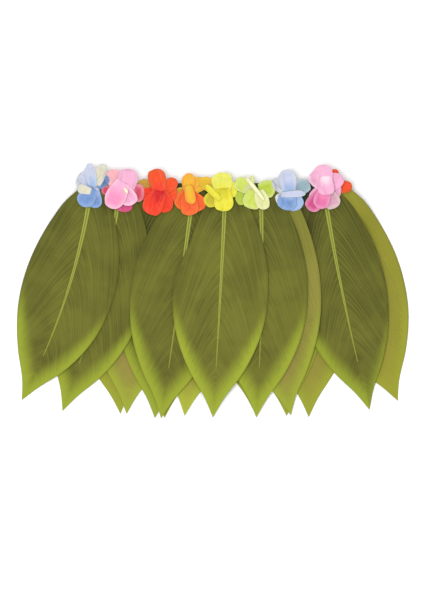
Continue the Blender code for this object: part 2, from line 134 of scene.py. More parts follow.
# How each leaf is finished: which face is up, brightness, and how yellow the inner face is
LEAF_FINISH = {
    "leaf_back_16": ("inner", 1.00, 0.6),
    "leaf_back_14": ("inner", 1.00, 0.5),
    "leaf_back_12": ("inner", 1.00, 0.4),
    "leaf_back_10": ("inner", 1.00, 0.6),
    "leaf_back_15": ("inner", 1.04, 0.3),
    "leaf_back_13": ("inner", 1.40, 0.5),
    "leaf_back_11": ("inner", 0.95, 0.4),
    "leaf_fold_9": ("inner", 1.02, 0.85),
    "leaf_front_3": ("outer", 0.97, 0.0),
    "leaf_front_8": ("outer", 0.93, 0.0),
    "leaf_front_2": ("outer", 0.99, 0.0),
    "leaf_front_7": ("inner", 1.00, 0.25),
    "leaf_front_1": ("outer", 0.98, 0.0),
    "leaf_front_4": ("outer", 0.99, 0.0),
    "leaf_front_6": ("outer", 1.02, 0.0),
    "leaf_front_5": ("outer", 1.06, 0.0),
}

# How much narrower the bright border is on a leaf's right side, in millimetres, and the share of the
# half width from which it is that much
NARROW_BORDER = {"leaf_front_8": 13.0}
NARROW_FROM = 0.4

# Soft creases pressed in by hand: from and to (share of length, share of half width), width, depth
CREASE_COLUMNS = ("leaf", "from_s", "from_c", "to_s", "to_c", "width", "depth")
CREASES = (
    ("leaf_front_1", 0.30, 0.15, 0.55, 0.75, 9.0, -0.9),
    ("leaf_front_1", 0.48, -0.85, 0.78, -0.25, 12.0, 0.9),
    ("leaf_front_1", 0.12, -0.50, 0.34, -0.85, 8.0, -0.8),
    ("leaf_front_2", 0.16, 0.10, 0.50, 0.70, 6.0, -1.3),
    ("leaf_front_2", 0.20, 0.45, 0.44, 0.90, 5.0, 1.1),
    ("leaf_front_3", 0.20, 0.05, 0.40, 0.60, 7.0, -1.0),
    ("leaf_front_4", 0.22, -0.70, 0.62, -0.20, 11.0, 1.0),
    ("leaf_front_4", 0.35, -0.10, 0.58, -0.55, 8.0, -0.7),
    ("leaf_front_5", 0.25, -0.20, 0.52, -0.80, 10.0, -0.9),
    ("leaf_front_5", 0.40, 0.25, 0.70, 0.65, 12.0, 0.8),
    ("leaf_front_5", 0.66, -0.15, 0.86, -0.45, 8.0, -0.6),
    ("leaf_front_6", 0.22, 0.20, 0.50, 0.75, 9.0, -0.9),
    ("leaf_front_6", 0.58, 0.15, 0.78, 0.60, 8.0, 0.8),
    ("leaf_front_7", 0.30, 0.30, 0.62, 0.85, 8.0, -0.8),
    ("leaf_front_8", 0.22, 0.15, 0.52, 0.70, 10.0, -0.9),
    ("leaf_front_8", 0.34, -0.25, 0.60, -0.75, 9.0, 0.8),
    ("leaf_fold_9", 0.30, 0.40, 0.70, 0.75, 10.0, -0.9),
    ("leaf_back_15", 0.40, -0.10, 0.80, 0.35, 9.0, -0.8),
    ("leaf_back_13", 0.55, -0.40, 0.85, 0.10, 8.0, 0.7),
    ("leaf_back_11", 0.50, 0.20, 0.80, -0.30, 8.0, -0.7),
    ("leaf_back_10", 0.45, -0.30, 0.80, -0.05, 9.0, 0.7),
    ("leaf_back_16", 0.35, 0.10, 0.70, -0.40, 10.0, -0.8),
)


STAGE_LIGHT = 1.2
SCREEN_GAMMA = 2.2


def ink(red, green, blue):
    """A colour given as it shows on a screen, from 0 to 255, as the linear colour that shaders take.

    The stage's light is a little over one, which leaves its floor plain white, so dyes are as much darker.
    """
    return tuple((value / 255.0) ** SCREEN_GAMMA / STAGE_LIGHT for value in (red, green, blue)) + (1.0,)


# Dyes of the blossoms' cloth
DYES = {
    "ice": ink(196, 203, 226),
    "mist": ink(204, 208, 216),
    "sky": ink(160, 186, 224),
    "blue": ink(118, 152, 205),
    "deep_blue": ink(92, 126, 184),
    "teal": ink(146, 172, 182),
    "pale_yellow": ink(226, 226, 96),
    "cream": ink(222, 216, 192),
    "white": ink(236, 234, 230),
    "lavender": ink(216, 212, 236),
    "shell": ink(250, 220, 232),
    "pink": ink(242, 176, 208),
    "rose": ink(250, 148, 190),
    "coral": ink(244, 178, 184),
    "magenta": ink(226, 88, 162),
    "berry": ink(208, 84, 136),
    "raspberry": ink(214, 74, 100),
    "dusty": ink(216, 166, 188),
    "red": ink(240, 60, 36),
    "scarlet": ink(242, 80, 34),
    "crimson": ink(206, 28, 30),
    "rust": ink(196, 96, 50),
    "brown_gold": ink(192, 148, 62),
    "orange": ink(242, 96, 46),
    "fuchsia": ink(226, 114, 164),
    "tangerine": ink(242, 132, 44),
    "amber": ink(240, 180, 52),
    "gold": ink(226, 184, 48),
    "olive_gold": ink(190, 162, 48),
    "yellow": ink(232, 224, 62),
    "lemon": ink(238, 234, 112),
    "deep_yellow": ink(206, 198, 34),
    "mustard": ink(202, 186, 46),
    "lime": ink(204, 221, 92),
    "leaf_lime": ink(184, 204, 72),
    "pale_lime": ink(222, 226, 158),
    "ivory": ink(242, 240, 198),
    "sand": ink(210, 205, 168),
}

# Where each blossom's hub stands, and one row per petal, bottom first: its root and tip from the hub and
# its half width, the height of root and tip over what is below, how far its sides curl up, and the dyes
# of its heart, blade and rim
PETAL_COLUMNS = (
    "root_dx",
    "root_dy",
    "tip_dx",
    "tip_dy",
    "half",
    "root_z",
    "tip_z",
    "cup",
    "heart",
    "blade",
    "rim",
)
HUBS = {
    "blossom_fold": (175, 151),
    "blossom_4": (-35, 142),
    "blossom_5": (14, 143),
    "blossom_3": (-75, 142),
    "blossom_2": (-127, 143),
    "blossom_1": (-172, 148),
    "blossom_6": (62, 144),
    "blossom_7": (112, 142),
    "blossom_8": (164, 145),
}
BLOSSOMS = {
    "blossom_fold": (
        (-3, 4, 4, 24, 6, 1, 4, 1.0, "rust", "scarlet", "rust"),
        (3, -3, 27, 0, 9, 1, 6, 2.0, "scarlet", "scarlet", "rust"),
    ),
    "blossom_4": (
        (-1, 0, -18, 0, 7, 1, 4, 1.5, "gold", "olive_gold", "amber"),
        (0, 2, 24, 16, 11, 2, 8, 2.0, "amber", "amber", "olive_gold"),
        (0, 1, 2, 27, 10, 2, 9, 2.0, "gold", "amber", "tangerine"),
        (2, -2, 23, -24, 11, 3, 9, 2.5, "scarlet", "orange", "tangerine"),
        (-1, 0, -12, -25, 12, 3, 10, 3.0, "orange", "orange", "tangerine"),
        (1, -2, 3, -34, 13, 4, 11, 3.0, "scarlet", "orange", "tangerine"),
        (0, 10, 6, -18, 8, 6, 12, 2.0, "gold", "amber", "orange"),
    ),
    "blossom_5": (
        (-2, 2, -33, 16, 10, 1, 6, 2.0, "gold", "gold", "amber"),
        (1, 0, 22, 4, 12, 1, 7, 2.0, "deep_yellow", "yellow", "yellow"),
        (-2, 0, -23, -20, 11, 2, 8, 2.5, "deep_yellow", "mustard", "yellow"),
        (0, -4, 1, 27, 15, 2, 10, 2.5, "yellow", "pale_yellow", "lemon"),
        (1, 4, 4, -29, 14, 4, 12, 3.0, "deep_yellow", "yellow", "yellow"),
        (-2, -13, -24, 9, 5, 6, 12, 1.5, "yellow", "yellow", "mustard"),
    ),
    "blossom_3": (
        (0, 0, -32, 14, 9, 1, 6, 2.0, "red", "brown_gold", "brown_gold"),
        (0, 1, -29, -6, 10, 1, 7, 2.0, "crimson", "red", "red"),
        (1, 0, 24, -6, 12, 2, 8, 2.0, "red", "scarlet", "scarlet"),
        (1, 1, 24, 17, 10, 2, 9, 2.0, "red", "scarlet", "rust"),
        (0, 0, -8, 33, 13, 3, 11, 2.5, "red", "scarlet", "rust"),
        (0, 0, 10, -29, 13, 4, 11, 3.0, "crimson", "red", "scarlet"),
        (-1, 1, -16, -32, 15, 5, 12, 3.0, "crimson", "red", "scarlet"),
    ),
    "blossom_2": (
        (1, -3, -1, -30, 12, 1, 6, 2.0, "berry", "berry", "raspberry"),
        (-12, 0, -33, 2, 7, 1, 6, 1.5, "berry", "raspberry", "dusty"),
        (5, -2, 29, -3, 13, 1, 7, 2.0, "pink", "raspberry", "coral"),
        (-2, 1, -22, 30, 13, 2, 9, 2.0, "cream", "coral", "coral"),
        (1, -2, 8, 32, 15, 3, 11, 2.5, "pink", "pink", "dusty"),
        (0, 2, 13, -19, 12, 4, 11, 3.0, "pink", "pink", "shell"),
        (-1, 14, -21, -24, 15, 5, 12, 3.0, "pink", "rose", "shell"),
        (0, 5, 5, -3, 2, 12, 13, 0.5, "ivory", "ivory", "ivory"),
    ),
    "blossom_1": (
        (-2, 2, -24, 12, 9, 1, 5, 1.5, "ice", "mist", "mist"),
        (3, 0, 22, 16, 8, 1, 7, 1.5, "blue", "deep_blue", "teal"),
        (4, 4, 15, 34, 9, 2, 9, 2.0, "cream", "cream", "mist"),
        (0, 2, -20, 20, 9, 2, 8, 2.0, "sky", "ice", "mist"),
        (0, 0, -6, 35, 8, 3, 10, 2.0, "sky", "ice", "mist"),
        (1, 0, 4, -29, 10, 3, 9, 2.5, "lavender", "blue", "sky"),
        (0, 0, -17, -26, 13, 4, 11, 3.0, "blue", "blue", "sky"),
        (-3, -5, -22, 0, 7, 5, 11, 1.5, "cream", "cream", "mist"),
    ),
    "blossom_6": (
        (-3, -4, -28, -14, 10, 1, 6, 2.0, "leaf_lime", "leaf_lime", "lime"),
        (5, 1, 29, 4, 13, 2, 8, 2.5, "leaf_lime", "leaf_lime", "pale_lime"),
        (-2, 1, -29, 13, 11, 2, 9, 2.5, "sand", "lime", "pale_lime"),
        (-4, 6, -4, 22, 3, 3, 9, 0.8, "lime", "pale_lime", "lime"),
        (1, 0, -8, -26, 14, 3, 11, 3.0, "lime", "lime", "pale_lime"),
        (5, 0, 15, -27, 10, 4, 11, 2.5, "pale_lime", "pale_lime", "ivory"),
        (-14, 20, 13, -14, 3, 6, 12, 1.0, "ivory", "ivory", "pale_lime"),
    ),
    "blossom_7": (
        (-3, -7, -20, -13, 9, 1, 6, 2.0, "mist", "mist", "white"),
        (-2, 1, -24, 17, 10, 1, 7, 2.0, "mist", "mist", "mist"),
        (1, 1, 29, 12, 11, 2, 8, 2.0, "teal", "teal", "mist"),
        (0, 0, -6, 32, 13, 3, 10, 2.5, "sky", "ice", "mist"),
        (1, 0, 12, -26, 12, 3, 10, 3.0, "blue", "sky", "sky"),
        (0, 0, -7, -26, 14, 4, 11, 3.0, "sky", "blue", "sky"),
        (-13, -4, 23, -2, 5, 6, 9, 1.0, "ice", "ice", "mist"),
    ),
    "blossom_8": (
        (0, 0, 22, -4, 12, 1, 6, 2.0, "dusty", "pink", "dusty"),
        (0, 2, 23, 20, 12, 2, 8, 2.0, "pink", "pink", "pink"),
        (-1, 5, -21, -17, 10, 2, 8, 2.0, "shell", "pink", "pink"),
        (-1, 3, -20, 26, 12, 2, 9, 2.0, "shell", "pink", "shell"),
        (0, 0, 14, -26, 12, 3, 9, 3.0, "dusty", "dusty", "cream"),
        (-1, 2, -7, 36, 15, 3, 11, 3.0, "shell", "pink", "pink"),
        (-1, 0, -25, -29, 12, 4, 11, 3.0, "fuchsia", "berry", "pink"),
        (-1, 0, -10, -27, 12, 5, 12, 3.0, "rose", "fuchsia", "pink"),
        (0, 20, 0, -8, 12, 7, 12, 2.0, "shell", "pink", "pink"),
    ),
}

# Painted shade where neighbouring leaves and blossoms would shade a leaf: share of length, share of half
# width, reach down and across, amount
PAINTED_SHADE_COLUMNS = ("leaf", "share", "column", "down", "across", "amount")
PAINTED_SHADES = (
    ("leaf_front_4", 0.23, 0.14, 26.0, 11.0, 0.42),
    ("leaf_front_4", 0.08, 0.30, 12.0, 12.0, 0.30),
    ("leaf_front_2", 0.12, -0.30, 20.0, 12.0, 0.36),
    ("leaf_front_3", 0.16, -0.35, 22.0, 12.0, 0.45),
    ("leaf_front_8", 0.16, -0.62, 26.0, 18.0, 0.50),
    ("leaf_front_5", 0.08, -0.60, 10.0, 9.0, 0.26),
    ("leaf_front_5", 0.07, 0.60, 10.0, 9.0, 0.22),
    ("leaf_front_6", 0.07, 0.62, 12.0, 14.0, 0.34),
    ("leaf_front_1", 0.06, 0.70, 12.0, 9.0, 0.34),
    ("leaf_fold_9", 0.03, 0.20, 9.0, 8.0, 0.35),
)


def band_shift():
    """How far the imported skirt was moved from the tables' own origin, in millimetres."""
    low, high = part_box("waistband")
    middle = (low + high) / 2
    return np.array((
        middle.x / MM - (BAND_LEFT + BAND_RIGHT) / 2,
        middle.y / MM - (BAND_TOP + BAND_BOTTOM) / 2,
    ))


SHIFT = band_shift()


def spline(knots, values, at):
    """Values at these places on the smooth curve through the knots, for each column of values."""
    knots = np.asarray(knots, float)
    slopes = np.gradient(values, knots, axis=0)
    i = np.clip(np.searchsorted(knots, at, side="right") - 1, 0, len(knots) - 2)
    step = (knots[i + 1] - knots[i])[:, None]
    t = (at - knots[i])[:, None] / step
    start = values[i] * (2 * t**3 - 3 * t**2 + 1) + slopes[i] * step * (t**3 - 2 * t**2 + t)
    return start + values[i + 1] * (3 * t**2 - 2 * t**3) + slopes[i + 1] * step * (t**3 - t**2)


def smooth_step(value, low, high):
    t = np.clip((value - low) / (high - low), 0.0, 1.0)
    return t * t * (3 - 2 * t)


def blur(grid):
    """The grid after one pass of averaging each value with its neighbours."""
    wide = np.pad(grid, 1, mode="edge")
    across = (wide[:, :-2] + 2 * wide[:, 1:-1] + wide[:, 2:]) / 4
    return (across[:-2] + 2 * across[1:-1] + across[2:]) / 4


def named(columns, rows):
    """The rows of a table as dictionaries with the columns' names."""
    return [dict(zip(columns, row)) for row in rows]


def number_of(name):
    return name.rsplit("_", 1)[1]


# Rays start this high over the floor, in metres
RAY_START = 1.0


def drop(tree, x, y):
    """Height in millimetres of the tree's cloth at this place, or None beside it."""
    hit = tree.ray_cast(Vector((x * MM, y * MM, RAY_START)), Vector((0.0, 0.0, -1.0)))[0]
    return None if hit is None else hit.z / MM


class Heap:
    """The cloth laid so far, which the next piece lies on."""

    def __init__(self):
        self.layers = []
        self.names = []

    def top(self, x, y):
        """Height in millimetres of the highest cloth at this place, or the floor."""
        found = 0.0
        for tree, low_x, high_x, low_y, high_y in self.layers:
            if low_x <= x <= high_x and low_y <= y <= high_y:
                height = drop(tree, x, y)
                if height is not None:
                    found = max(found, height)
        return found

    def tops(self, plan):
        return np.array([[self.top(x, y) for x, y in row] for row in plan])

    def add(self, name, points, faces, thickness):
        """Adds a sheet by its underside points, raised by its thickness."""
        self.names.append(name)
        raised = [Vector((x * MM, y * MM, (z + thickness) * MM)) for x, y, z in points]
        low = points.min(axis=0)
        high = points.max(axis=0)
        self.layers.append((BVHTree.FromPolygons(raised, faces), low[0], high[0], low[1], high[1]))


HEAP = Heap()
LIFT_PASSES = 3


def lie_on_heap(plan, heights, gap):
    """Heights raised wherever the sheet would touch what is below, softened but never lowered."""
    lift = np.maximum(HEAP.tops(plan) + gap - heights, 0.0)
    for _ in range(LIFT_PASSES):
        lift = np.maximum(lift, blur(lift))
    return heights + lift


def sheet_faces(rows, columns):
    """Quads between the rows of a sheet, counted from the root, facing up."""
    faces = []
    for row in range(rows - 1):
        for column in range(columns - 1):
            start = row * columns + column
            faces.append((start, start + columns, start + columns + 1, start + 1))
    return faces


def tip_faces(rows, columns):
    """Triangles from the last row to the single point of the tip."""
    last = (rows - 1) * columns
    return [(last + column, rows * columns, last + column + 1) for column in range(columns - 1)]


def make_mesh(name, points, faces, values=None):
    """A mesh object from millimetre points, with named values on its points."""
    mesh = bpy.data.meshes.new(name)
    mesh.from_pydata((np.asarray(points) * MM).tolist(), [], faces)
    mesh.update()
    for key, data in (values or {}).items():
        data = np.asarray(data, np.float32)
        if data.ndim == 1:
            mesh.attributes.new(key, "FLOAT", "POINT").data.foreach_set("value", data)
        else:
            mesh.attributes.new(key, "FLOAT_COLOR", "POINT").data.foreach_set("color", data.ravel())
    mesh.shade_smooth()
    obj = bpy.data.objects.new(name, mesh)
    bpy.context.scene.collection.objects.link(obj)
    return obj


def thicken(obj, thickness, materials, offset=1.0):
    """Cloth thickness above the sheet, with the second material on its underside."""
    for material in materials:
        obj.data.materials.append(material)
    wall = obj.modifiers.new("cloth", "SOLIDIFY")
    wall.thickness = thickness
    wall.offset = offset
    wall.use_even_offset = False
    wall.material_offset = len(materials) - 1
    wall.material_offset_rim = len(materials) - 1


def finished(obj, slot, *nodes):
    """Puts a piece on the skirt's body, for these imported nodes."""
    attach(obj, "root")
    if nodes:
        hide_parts(*nodes)
    return obj


def leaf_midline(leaf, shares):
    """Points down the leaf's middle and the sideways direction at each, pointing right."""
    root = np.array((leaf["root_x"], leaf["root_y"])) + SHIFT
    tip = np.array((leaf["tip_x"], leaf["tip_y"])) + SHIFT
    length = np.linalg.norm(tip - root)
    along = (tip - root) / length
    side = np.array((-along[1], along[0]))
    swing = leaf["bow"] * 4 * shares * (1 - shares)
    middle = root + np.outer(shares * length, along) + np.outer(swing, side)
    slope = leaf["bow"] * 4 * (1 - 2 * shares)
    heading = np.outer(np.full(len(shares), length), along) + np.outer(slope, side)
    heading = heading / np.linalg.norm(heading, axis=1)[:, None]
    return middle, np.stack((-heading[:, 1], heading[:, 0]), axis=1)


def leaf_halves(leaf, shares, column):
    """Half width of the leaf on the side of this column, drawn in near the root by the left side's gather."""
    places, widths = np.array(LEAF_OUTLINE).T
    width = spline(places, widths[:, None], shares)[:, 0]
    if column >= 0:
        return leaf["right_half"] * width
    drawn_in = leaf["left_gather"] * (1 - smooth_step(shares, GATHER_FROM, GATHER_TO))
    return leaf["left_half"] * width * (1 - drawn_in)


def leaf_plan(leaf, shares, column):
    middle, side = leaf_midline(leaf, shares)
    return middle + side * (column * leaf_halves(leaf, shares, column))[:, None]


def leaf_length(leaf):
    return math.hypot(leaf["tip_x"] - leaf["root_x"], leaf["tip_y"] - leaf["root_y"])


def row_shares(rows):
    even = np.linspace(0.0, 1.0, rows)
    return even - ROW_CROWDING * np.sin(2 * math.pi * even)


# Corners of a solid this close together in plan, in millimetres, stand one over the other
CORNER_REACH = 0.02


def solid_heights(node, plan):
    """Height of the node's underside at each of these places, which are corners of the solid."""
    corners = np.array([vertex.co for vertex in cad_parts[node].data.vertices]) / MM
    heights = np.zeros(plan.shape[:2])
    for row in range(plan.shape[0]):
        for column in range(plan.shape[1]):
            away = np.hypot(*(corners[:, :2] - plan[row, column]).T)
            near = corners[away < away.min() + CORNER_REACH]
            heights[row, column] = near[:, 2].min()
    return heights


def leaf_creases(name, shares, columns, width_mm, length_mm):
    """Height that this leaf's creases add at each row and column."""
    added = np.zeros((len(shares), len(columns)))
    down = shares[:, None] * length_mm
    across = np.array(columns)[None, :] * width_mm
    for crease in named(CREASE_COLUMNS, CREASES):
        if crease["leaf"] != name:
            continue
        start = np.array((crease["from_s"] * length_mm, crease["from_c"] * width_mm))
        end = np.array((crease["to_s"] * length_mm, crease["to_c"] * width_mm))
        run = end - start
        t = ((down - start[0]) * run[0] + (across - start[1]) * run[1]) / (run @ run)
        near = np.clip(t, 0.0, 1.0)
        away = np.hypot(down - start[0] - near * run[0], across - start[1] - near * run[1])
        fade = np.clip(1 - np.abs(2 * near - 1) ** 3, 0.0, 1.0)
        added += crease["depth"] * fade * np.exp(-((away / crease["width"]) ** 2) * 2)
    return added


# Waves down a leaf's edge, how far each leaf's differ from the next one's and the sides' from each other
EDGE_WAVES = 2.3
LEAF_PHASE = 1.7
SIDE_PHASE = 1.3
# Share of the half width from which the edge turns up, and the least room over the floor in millimetres
CURL_FROM = 0.72
FLOOR_GAP = 0.05


def leaf_sheet(leaf, sizes):
    """Rows of underside points of one leaf as it lies on the heap, with its values for the dyes."""
    name = leaf["name"]
    length = leaf_length(leaf)
    back = name.startswith("leaf_back")
    solid_rows = row_shares(SOLID_BACK_ROWS if back else SOLID_FRONT_ROWS)
    solid_columns = SOLID_BACK_COLUMNS if back else SOLID_FRONT_COLUMNS
    coarse = np.stack([leaf_plan(leaf, solid_rows, column) for column in solid_columns], axis=1)
    solid = solid_heights(name, coarse)
    shares = row_shares(sizes.leaf_rows)
    columns = np.linspace(-1.0, 1.0, sizes.leaf_columns)
    heights = spline(solid_columns, spline(solid_rows, solid, shares).T, columns).T + WALL_SPARE
    plan = np.stack([leaf_plan(leaf, shares, column) for column in columns], axis=1)
    halves = np.stack([leaf_halves(leaf, shares, column) for column in columns], axis=1)
    side = np.abs(columns)[None, :]
    phase = LEAF_PHASE * float(number_of(name)) + SIDE_PHASE * np.sign(columns)[None, :]
    middle = np.sin(math.pi * shares)[:, None]
    if not back:
        waves = np.sin(2 * math.pi * EDGE_WAVES * shares[:, None] + phase)
        heights = heights + waves * side**3 * middle * sizes.edge_wave / MM
        heights = heights + sizes.edge_curl / MM * smooth_step(side, CURL_FROM, 1.0) * middle
    heights = heights + leaf_creases(name, shares, columns, leaf["left_half"], length)
    heights = lie_on_heap(plan, np.maximum(heights, FLOOR_GAP), sizes.layer_gap / MM)
    narrower = NARROW_BORDER.get(name, 0.0) * smooth_step(columns, 0.0, NARROW_FROM)[None, :]
    # Painted shade: soft dark spots where neighbouring leaves and blossoms would shade this leaf
    painted_shades = leaf_painted_shades(name, shares, columns, leaf["left_half"], length)
    values = {
        "from_rib": np.broadcast_to(columns[None, :], halves.shape) * halves,
        "from_edge": (1 - side) * halves + narrower,
        "down": np.broadcast_to(shares[:, None] * length, halves.shape),
        "share": np.broadcast_to(shares[:, None], halves.shape),
        # The tone carries the leaf's brightness and its painted shade
        "tone_and_painted_shade": painted_shades * LEAF_FINISH[name][1],
    }
    return plan, heights, values


def joined_rows(grid):
    """The grid's full rows, then one value for the tip that closes them."""
    return np.concatenate((grid[:-1].reshape((-1,) + grid.shape[2:]), grid[-1:, 0]))


def lay_leaf(leaf, settings, materials):
    """One leaf as it lies on the heap."""
    sizes = settings.sizes
    plan, heights, values = leaf_sheet(leaf, sizes)
    points = np.column_stack((joined_rows(plan), joined_rows(heights)))
    rows, columns = heights.shape
    faces = sheet_faces(rows - 1, columns) + tip_faces(rows - 1, columns)
    data = {key: joined_rows(grid) for key, grid in values.items()}
    face, _, yellow = LEAF_FINISH[leaf["name"]]
    count = len(points)
    data["yellow"] = np.full(count, yellow)
    data["number"] = np.full(count, float(number_of(leaf["name"])))
    obj = make_mesh(leaf["name"] + "_cloth", points, faces, data)
    outer, inner = materials["leaf_outer"], materials["leaf_inner"]
    thicken(obj, sizes.leaf_cloth, (outer, inner) if face == "outer" else (inner, outer))
    HEAP.add(leaf["name"], points, faces, sizes.leaf_cloth / MM)
    return finished(obj, leaf["name"].rsplit("_", 1)[0], leaf["name"])


def leaf_painted_shades(name, shares, columns, width_mm, length_mm):
    """What is left of the leaf's colour at each row and column, once its painted shade spots are taken off.
    """
    left = np.ones((len(shares), len(columns)))
    for shade in named(PAINTED_SHADE_COLUMNS, PAINTED_SHADES):
        if shade["leaf"] == name:
            down = (shares[:, None] - shade["share"]) * length_mm / shade["down"]
            across = (np.array(columns)[None, :] - shade["column"]) * width_mm / shade["across"]
            left *= 1 - shade["amount"] * np.exp(-(down**2 + across**2))
    return left


def leaf_top(tree, places, gap):
    """Points on a laid leaf's upper face, raised by the gap."""
    found = [(x, y, drop(tree, x, y)) for x, y in places]
    return [(x, y, height + gap) for x, y, height in found if height is not None]


def laid_tree(name):
    graph = bpy.context.evaluated_depsgraph_get()
    return BVHTree.FromObject(bpy.data.objects[name + "_cloth"], graph)


def path_object(name, runs):
    """Edges through each run of points, with each point's half width in metres."""
    points = []
    edges = []
    halves = []
    for run, widths in runs:
        start = len(points)
        points += run
        halves += list(widths)
        edges += [(start + step, start + step + 1) for step in range(len(run) - 1)]
    mesh = bpy.data.meshes.new(name)
    mesh.from_pydata((np.array(points) * MM).tolist(), edges, [])
    mesh.attributes.new("half", "FLOAT", "POINT").data.foreach_set("value", np.array(halves, np.float32) * MM)
    obj = bpy.data.objects.new(name, mesh)
    bpy.context.scene.collection.objects.link(obj)
    return obj


class Nodes:
    """A tree of nodes that is built one call at a time."""

    def feed(self, socket, value):
        if isinstance(value, bpy.types.NodeSocket):
            self.tree.links.new(value, socket)
        else:
            socket.default_value = value

    def node(self, kind, inputs=(), **settings):
        made = self.tree.nodes.new(kind)
        for key, value in settings.items():
            setattr(made, key, value)
        for key, value in dict(inputs).items():
            self.feed(made.inputs[key], value)
        return made

    def math(self, operation, a, b=0.0, c=0.0):
        return self.node("ShaderNodeMath", {0: a, 1: b, 2: c}, operation=operation).outputs[0]


class Growth(Nodes):
    """Geometry nodes with named inputs."""

    def __init__(self, name, inputs):
        self.tree = bpy.data.node_groups.new(name, "GeometryNodeTree")
        self.tree.interface.new_socket("Geometry", in_out="INPUT", socket_type="NodeSocketGeometry")
        self.names = {}
        for label, kind, default in inputs:
            socket = self.tree.interface.new_socket(label, in_out="INPUT", socket_type=kind)
            if default is not None:
                socket.default_value = default
            self.names[label] = socket.identifier
        self.tree.interface.new_socket("Geometry", in_out="OUTPUT", socket_type="NodeSocketGeometry")
        self.start = self.tree.nodes.new("NodeGroupInput").outputs

    def finish(self, geometry):
        real = self.node("GeometryNodeRealizeInstances", {0: geometry}).outputs[0]
        inputs = {"Geometry": real, "Material": self.start["Material"]}
        painted = self.node("GeometryNodeSetMaterial", inputs).outputs[0]
        self.tree.links.new(painted, self.tree.nodes.new("NodeGroupOutput").inputs[0])
        return self


def grow(obj, growth, values):
    """The plain mesh that these geometry nodes make of the object, in the object's place."""
    modifier = obj.modifiers.new("growth", "NODES")
    modifier.node_group = growth.tree
    for label, value in values.items():
        modifier[growth.names[label]] = value
    graph = bpy.context.evaluated_depsgraph_get()
    mesh = bpy.data.meshes.new_from_object(obj.evaluated_get(graph))
    name = obj.name
    bpy.data.objects.remove(obj)
    mesh.name = name
    made = bpy.data.objects.new(name, mesh)
    bpy.context.scene.collection.objects.link(made)
    return made


def face_out(obj):
    """Turns every closed shell's faces outwards, once its doubles are merged."""
    shell = bmesh.new()
    shell.from_mesh(obj.data)
    bmesh.ops.remove_doubles(shell, verts=shell.verts, dist=1e-6)
    bmesh.ops.recalc_face_normals(shell, faces=shell.faces)
    shell.to_mesh(obj.data)
    shell.free()
    obj.data.shade_smooth()


# A strand's underside as a share of its half width, and how narrow its groove is
STRAND_UNDERSIDE = -0.25
GROOVE_NARROWING = -14.0


def strand_growth():
    """A flat half-round strand along each path: its height follows its width, with a groove on top."""
    inputs = (
        ("Profile points", "NodeSocketInt", 12),
        ("Height share", "NodeSocketFloat", 0.4),
        ("Groove share", "NodeSocketFloat", 0.5),
        ("Material", "NodeSocketMaterial", None),
    )
    growth = Growth("stem_strand", inputs)
    start = growth.start
    curve = growth.node("GeometryNodeMeshToCurve", {0: start["Geometry"]}).outputs[0]
    half = growth.node("GeometryNodeInputNamedAttribute", {"Name": "half"}).outputs[0]
    upright = growth.node("GeometryNodeSetCurveNormal", {0: curve}, mode="Z_UP").outputs[0]
    inputs = {"Resolution": start["Profile points"], "Radius": 1.0}
    ring = growth.node("GeometryNodeCurvePrimitiveCircle", inputs).outputs[0]
    # The strand's width is the ring's first axis and its height is the second
    position = growth.node("GeometryNodeInputPosition").outputs[0]
    wide, high, _ = growth.node("ShaderNodeSeparateXYZ", {0: position}).outputs
    inputs = {0: ring, "Name": "across", "Value": wide}
    across = growth.node("GeometryNodeStoreNamedAttribute", inputs).outputs[0]
    flat = growth.math("MAXIMUM", high, STRAND_UNDERSIDE)
    fading = growth.math("MULTIPLY", growth.math("MULTIPLY", wide, wide), GROOVE_NARROWING)
    dip = growth.math("MULTIPLY", growth.math("EXPONENT", fading), start["Groove share"])
    dip = growth.math("MAXIMUM", growth.math("MULTIPLY", dip, flat), 0.0)
    height = growth.math("MULTIPLY", growth.math("SUBTRACT", flat, dip), start["Height share"])
    place = growth.node("ShaderNodeCombineXYZ", {0: wide, 1: height, 2: 0.0}).outputs[0]
    profile = growth.node("GeometryNodeSetPosition", {0: across, "Position": place}).outputs[0]
    inputs = {"Curve": upright, "Profile Curve": profile, "Scale": half, "Fill Caps": True}
    return growth.finish(growth.node("GeometryNodeCurveToMesh", inputs).outputs[0])


GROWTHS = {}


def growth_named(name, make):
    """The named growth, built once and used again for every piece like it."""
    if name not in GROWTHS:
        GROWTHS[name] = make()
    return GROWTHS[name]


def strands(name, runs, profile_points, height_share, groove_share, cloth):
    """One plain mesh of half-round strands along these runs."""
    values = {
        "Profile points": profile_points,
        "Height share": height_share,
        "Groove share": groove_share,
        "Material": cloth,
    }
    obj = grow(path_object(name, runs), growth_named("strand", strand_growth), values)
    face_out(obj)
    return obj


STEM_PROFILE_POINTS = 14
STEM_GROOVE = 0.45


def sew_stem(leaf, settings):
    """The midrib sewn down a leaf, a grooved strand that tapers towards the tip."""
    sizes = settings.sizes
    number = number_of(leaf["name"])
    shares = np.linspace(sizes.stem_start, sizes.stem_end, sizes.stem_points)
    run = leaf_top(laid_tree(leaf["name"]), leaf_midline(leaf, shares)[0], sizes.stem_rise / MM)
    halves = np.linspace(sizes.stem_half / MM, sizes.stem_tip_half / MM, len(run))
    cloth = material("stem", stem_material, settings.colours)
    profile = (STEM_PROFILE_POINTS, sizes.stem_height_share, STEM_GROOVE)
    obj = strands("stem_" + number, [(run, halves)], *profile, cloth)
    points = np.array([vertex.co for vertex in obj.data.vertices]) / MM
    HEAP.add(obj.name, points, [tuple(face.vertices) for face in obj.data.polygons], 0.0)
    return finished(obj, "midrib", "midrib_" + number)


# How the side veins, raised and printed, leave the midrib and bend towards the tip
VEIN_SLOPE = 1.1
VEIN_BEND = 0.028
# Raised veins start down to this share of the leaf's length, and end at these shares of its length and
# half width
VEIN_LAST = 0.66
VEIN_END = 0.97
VEIN_REACH = 0.86
# How far the sides' veins are set off, from point to point, and over the leaf, in millimetres
VEIN_OFFSET = 2.0
VEIN_STEP = 3.0
VEIN_RISE = 0.04
VEIN_FEWEST_POINTS = 4
VEIN_TAPER = 3
VEIN_PROFILE_POINTS = 6
VEIN_HEIGHT = 0.35


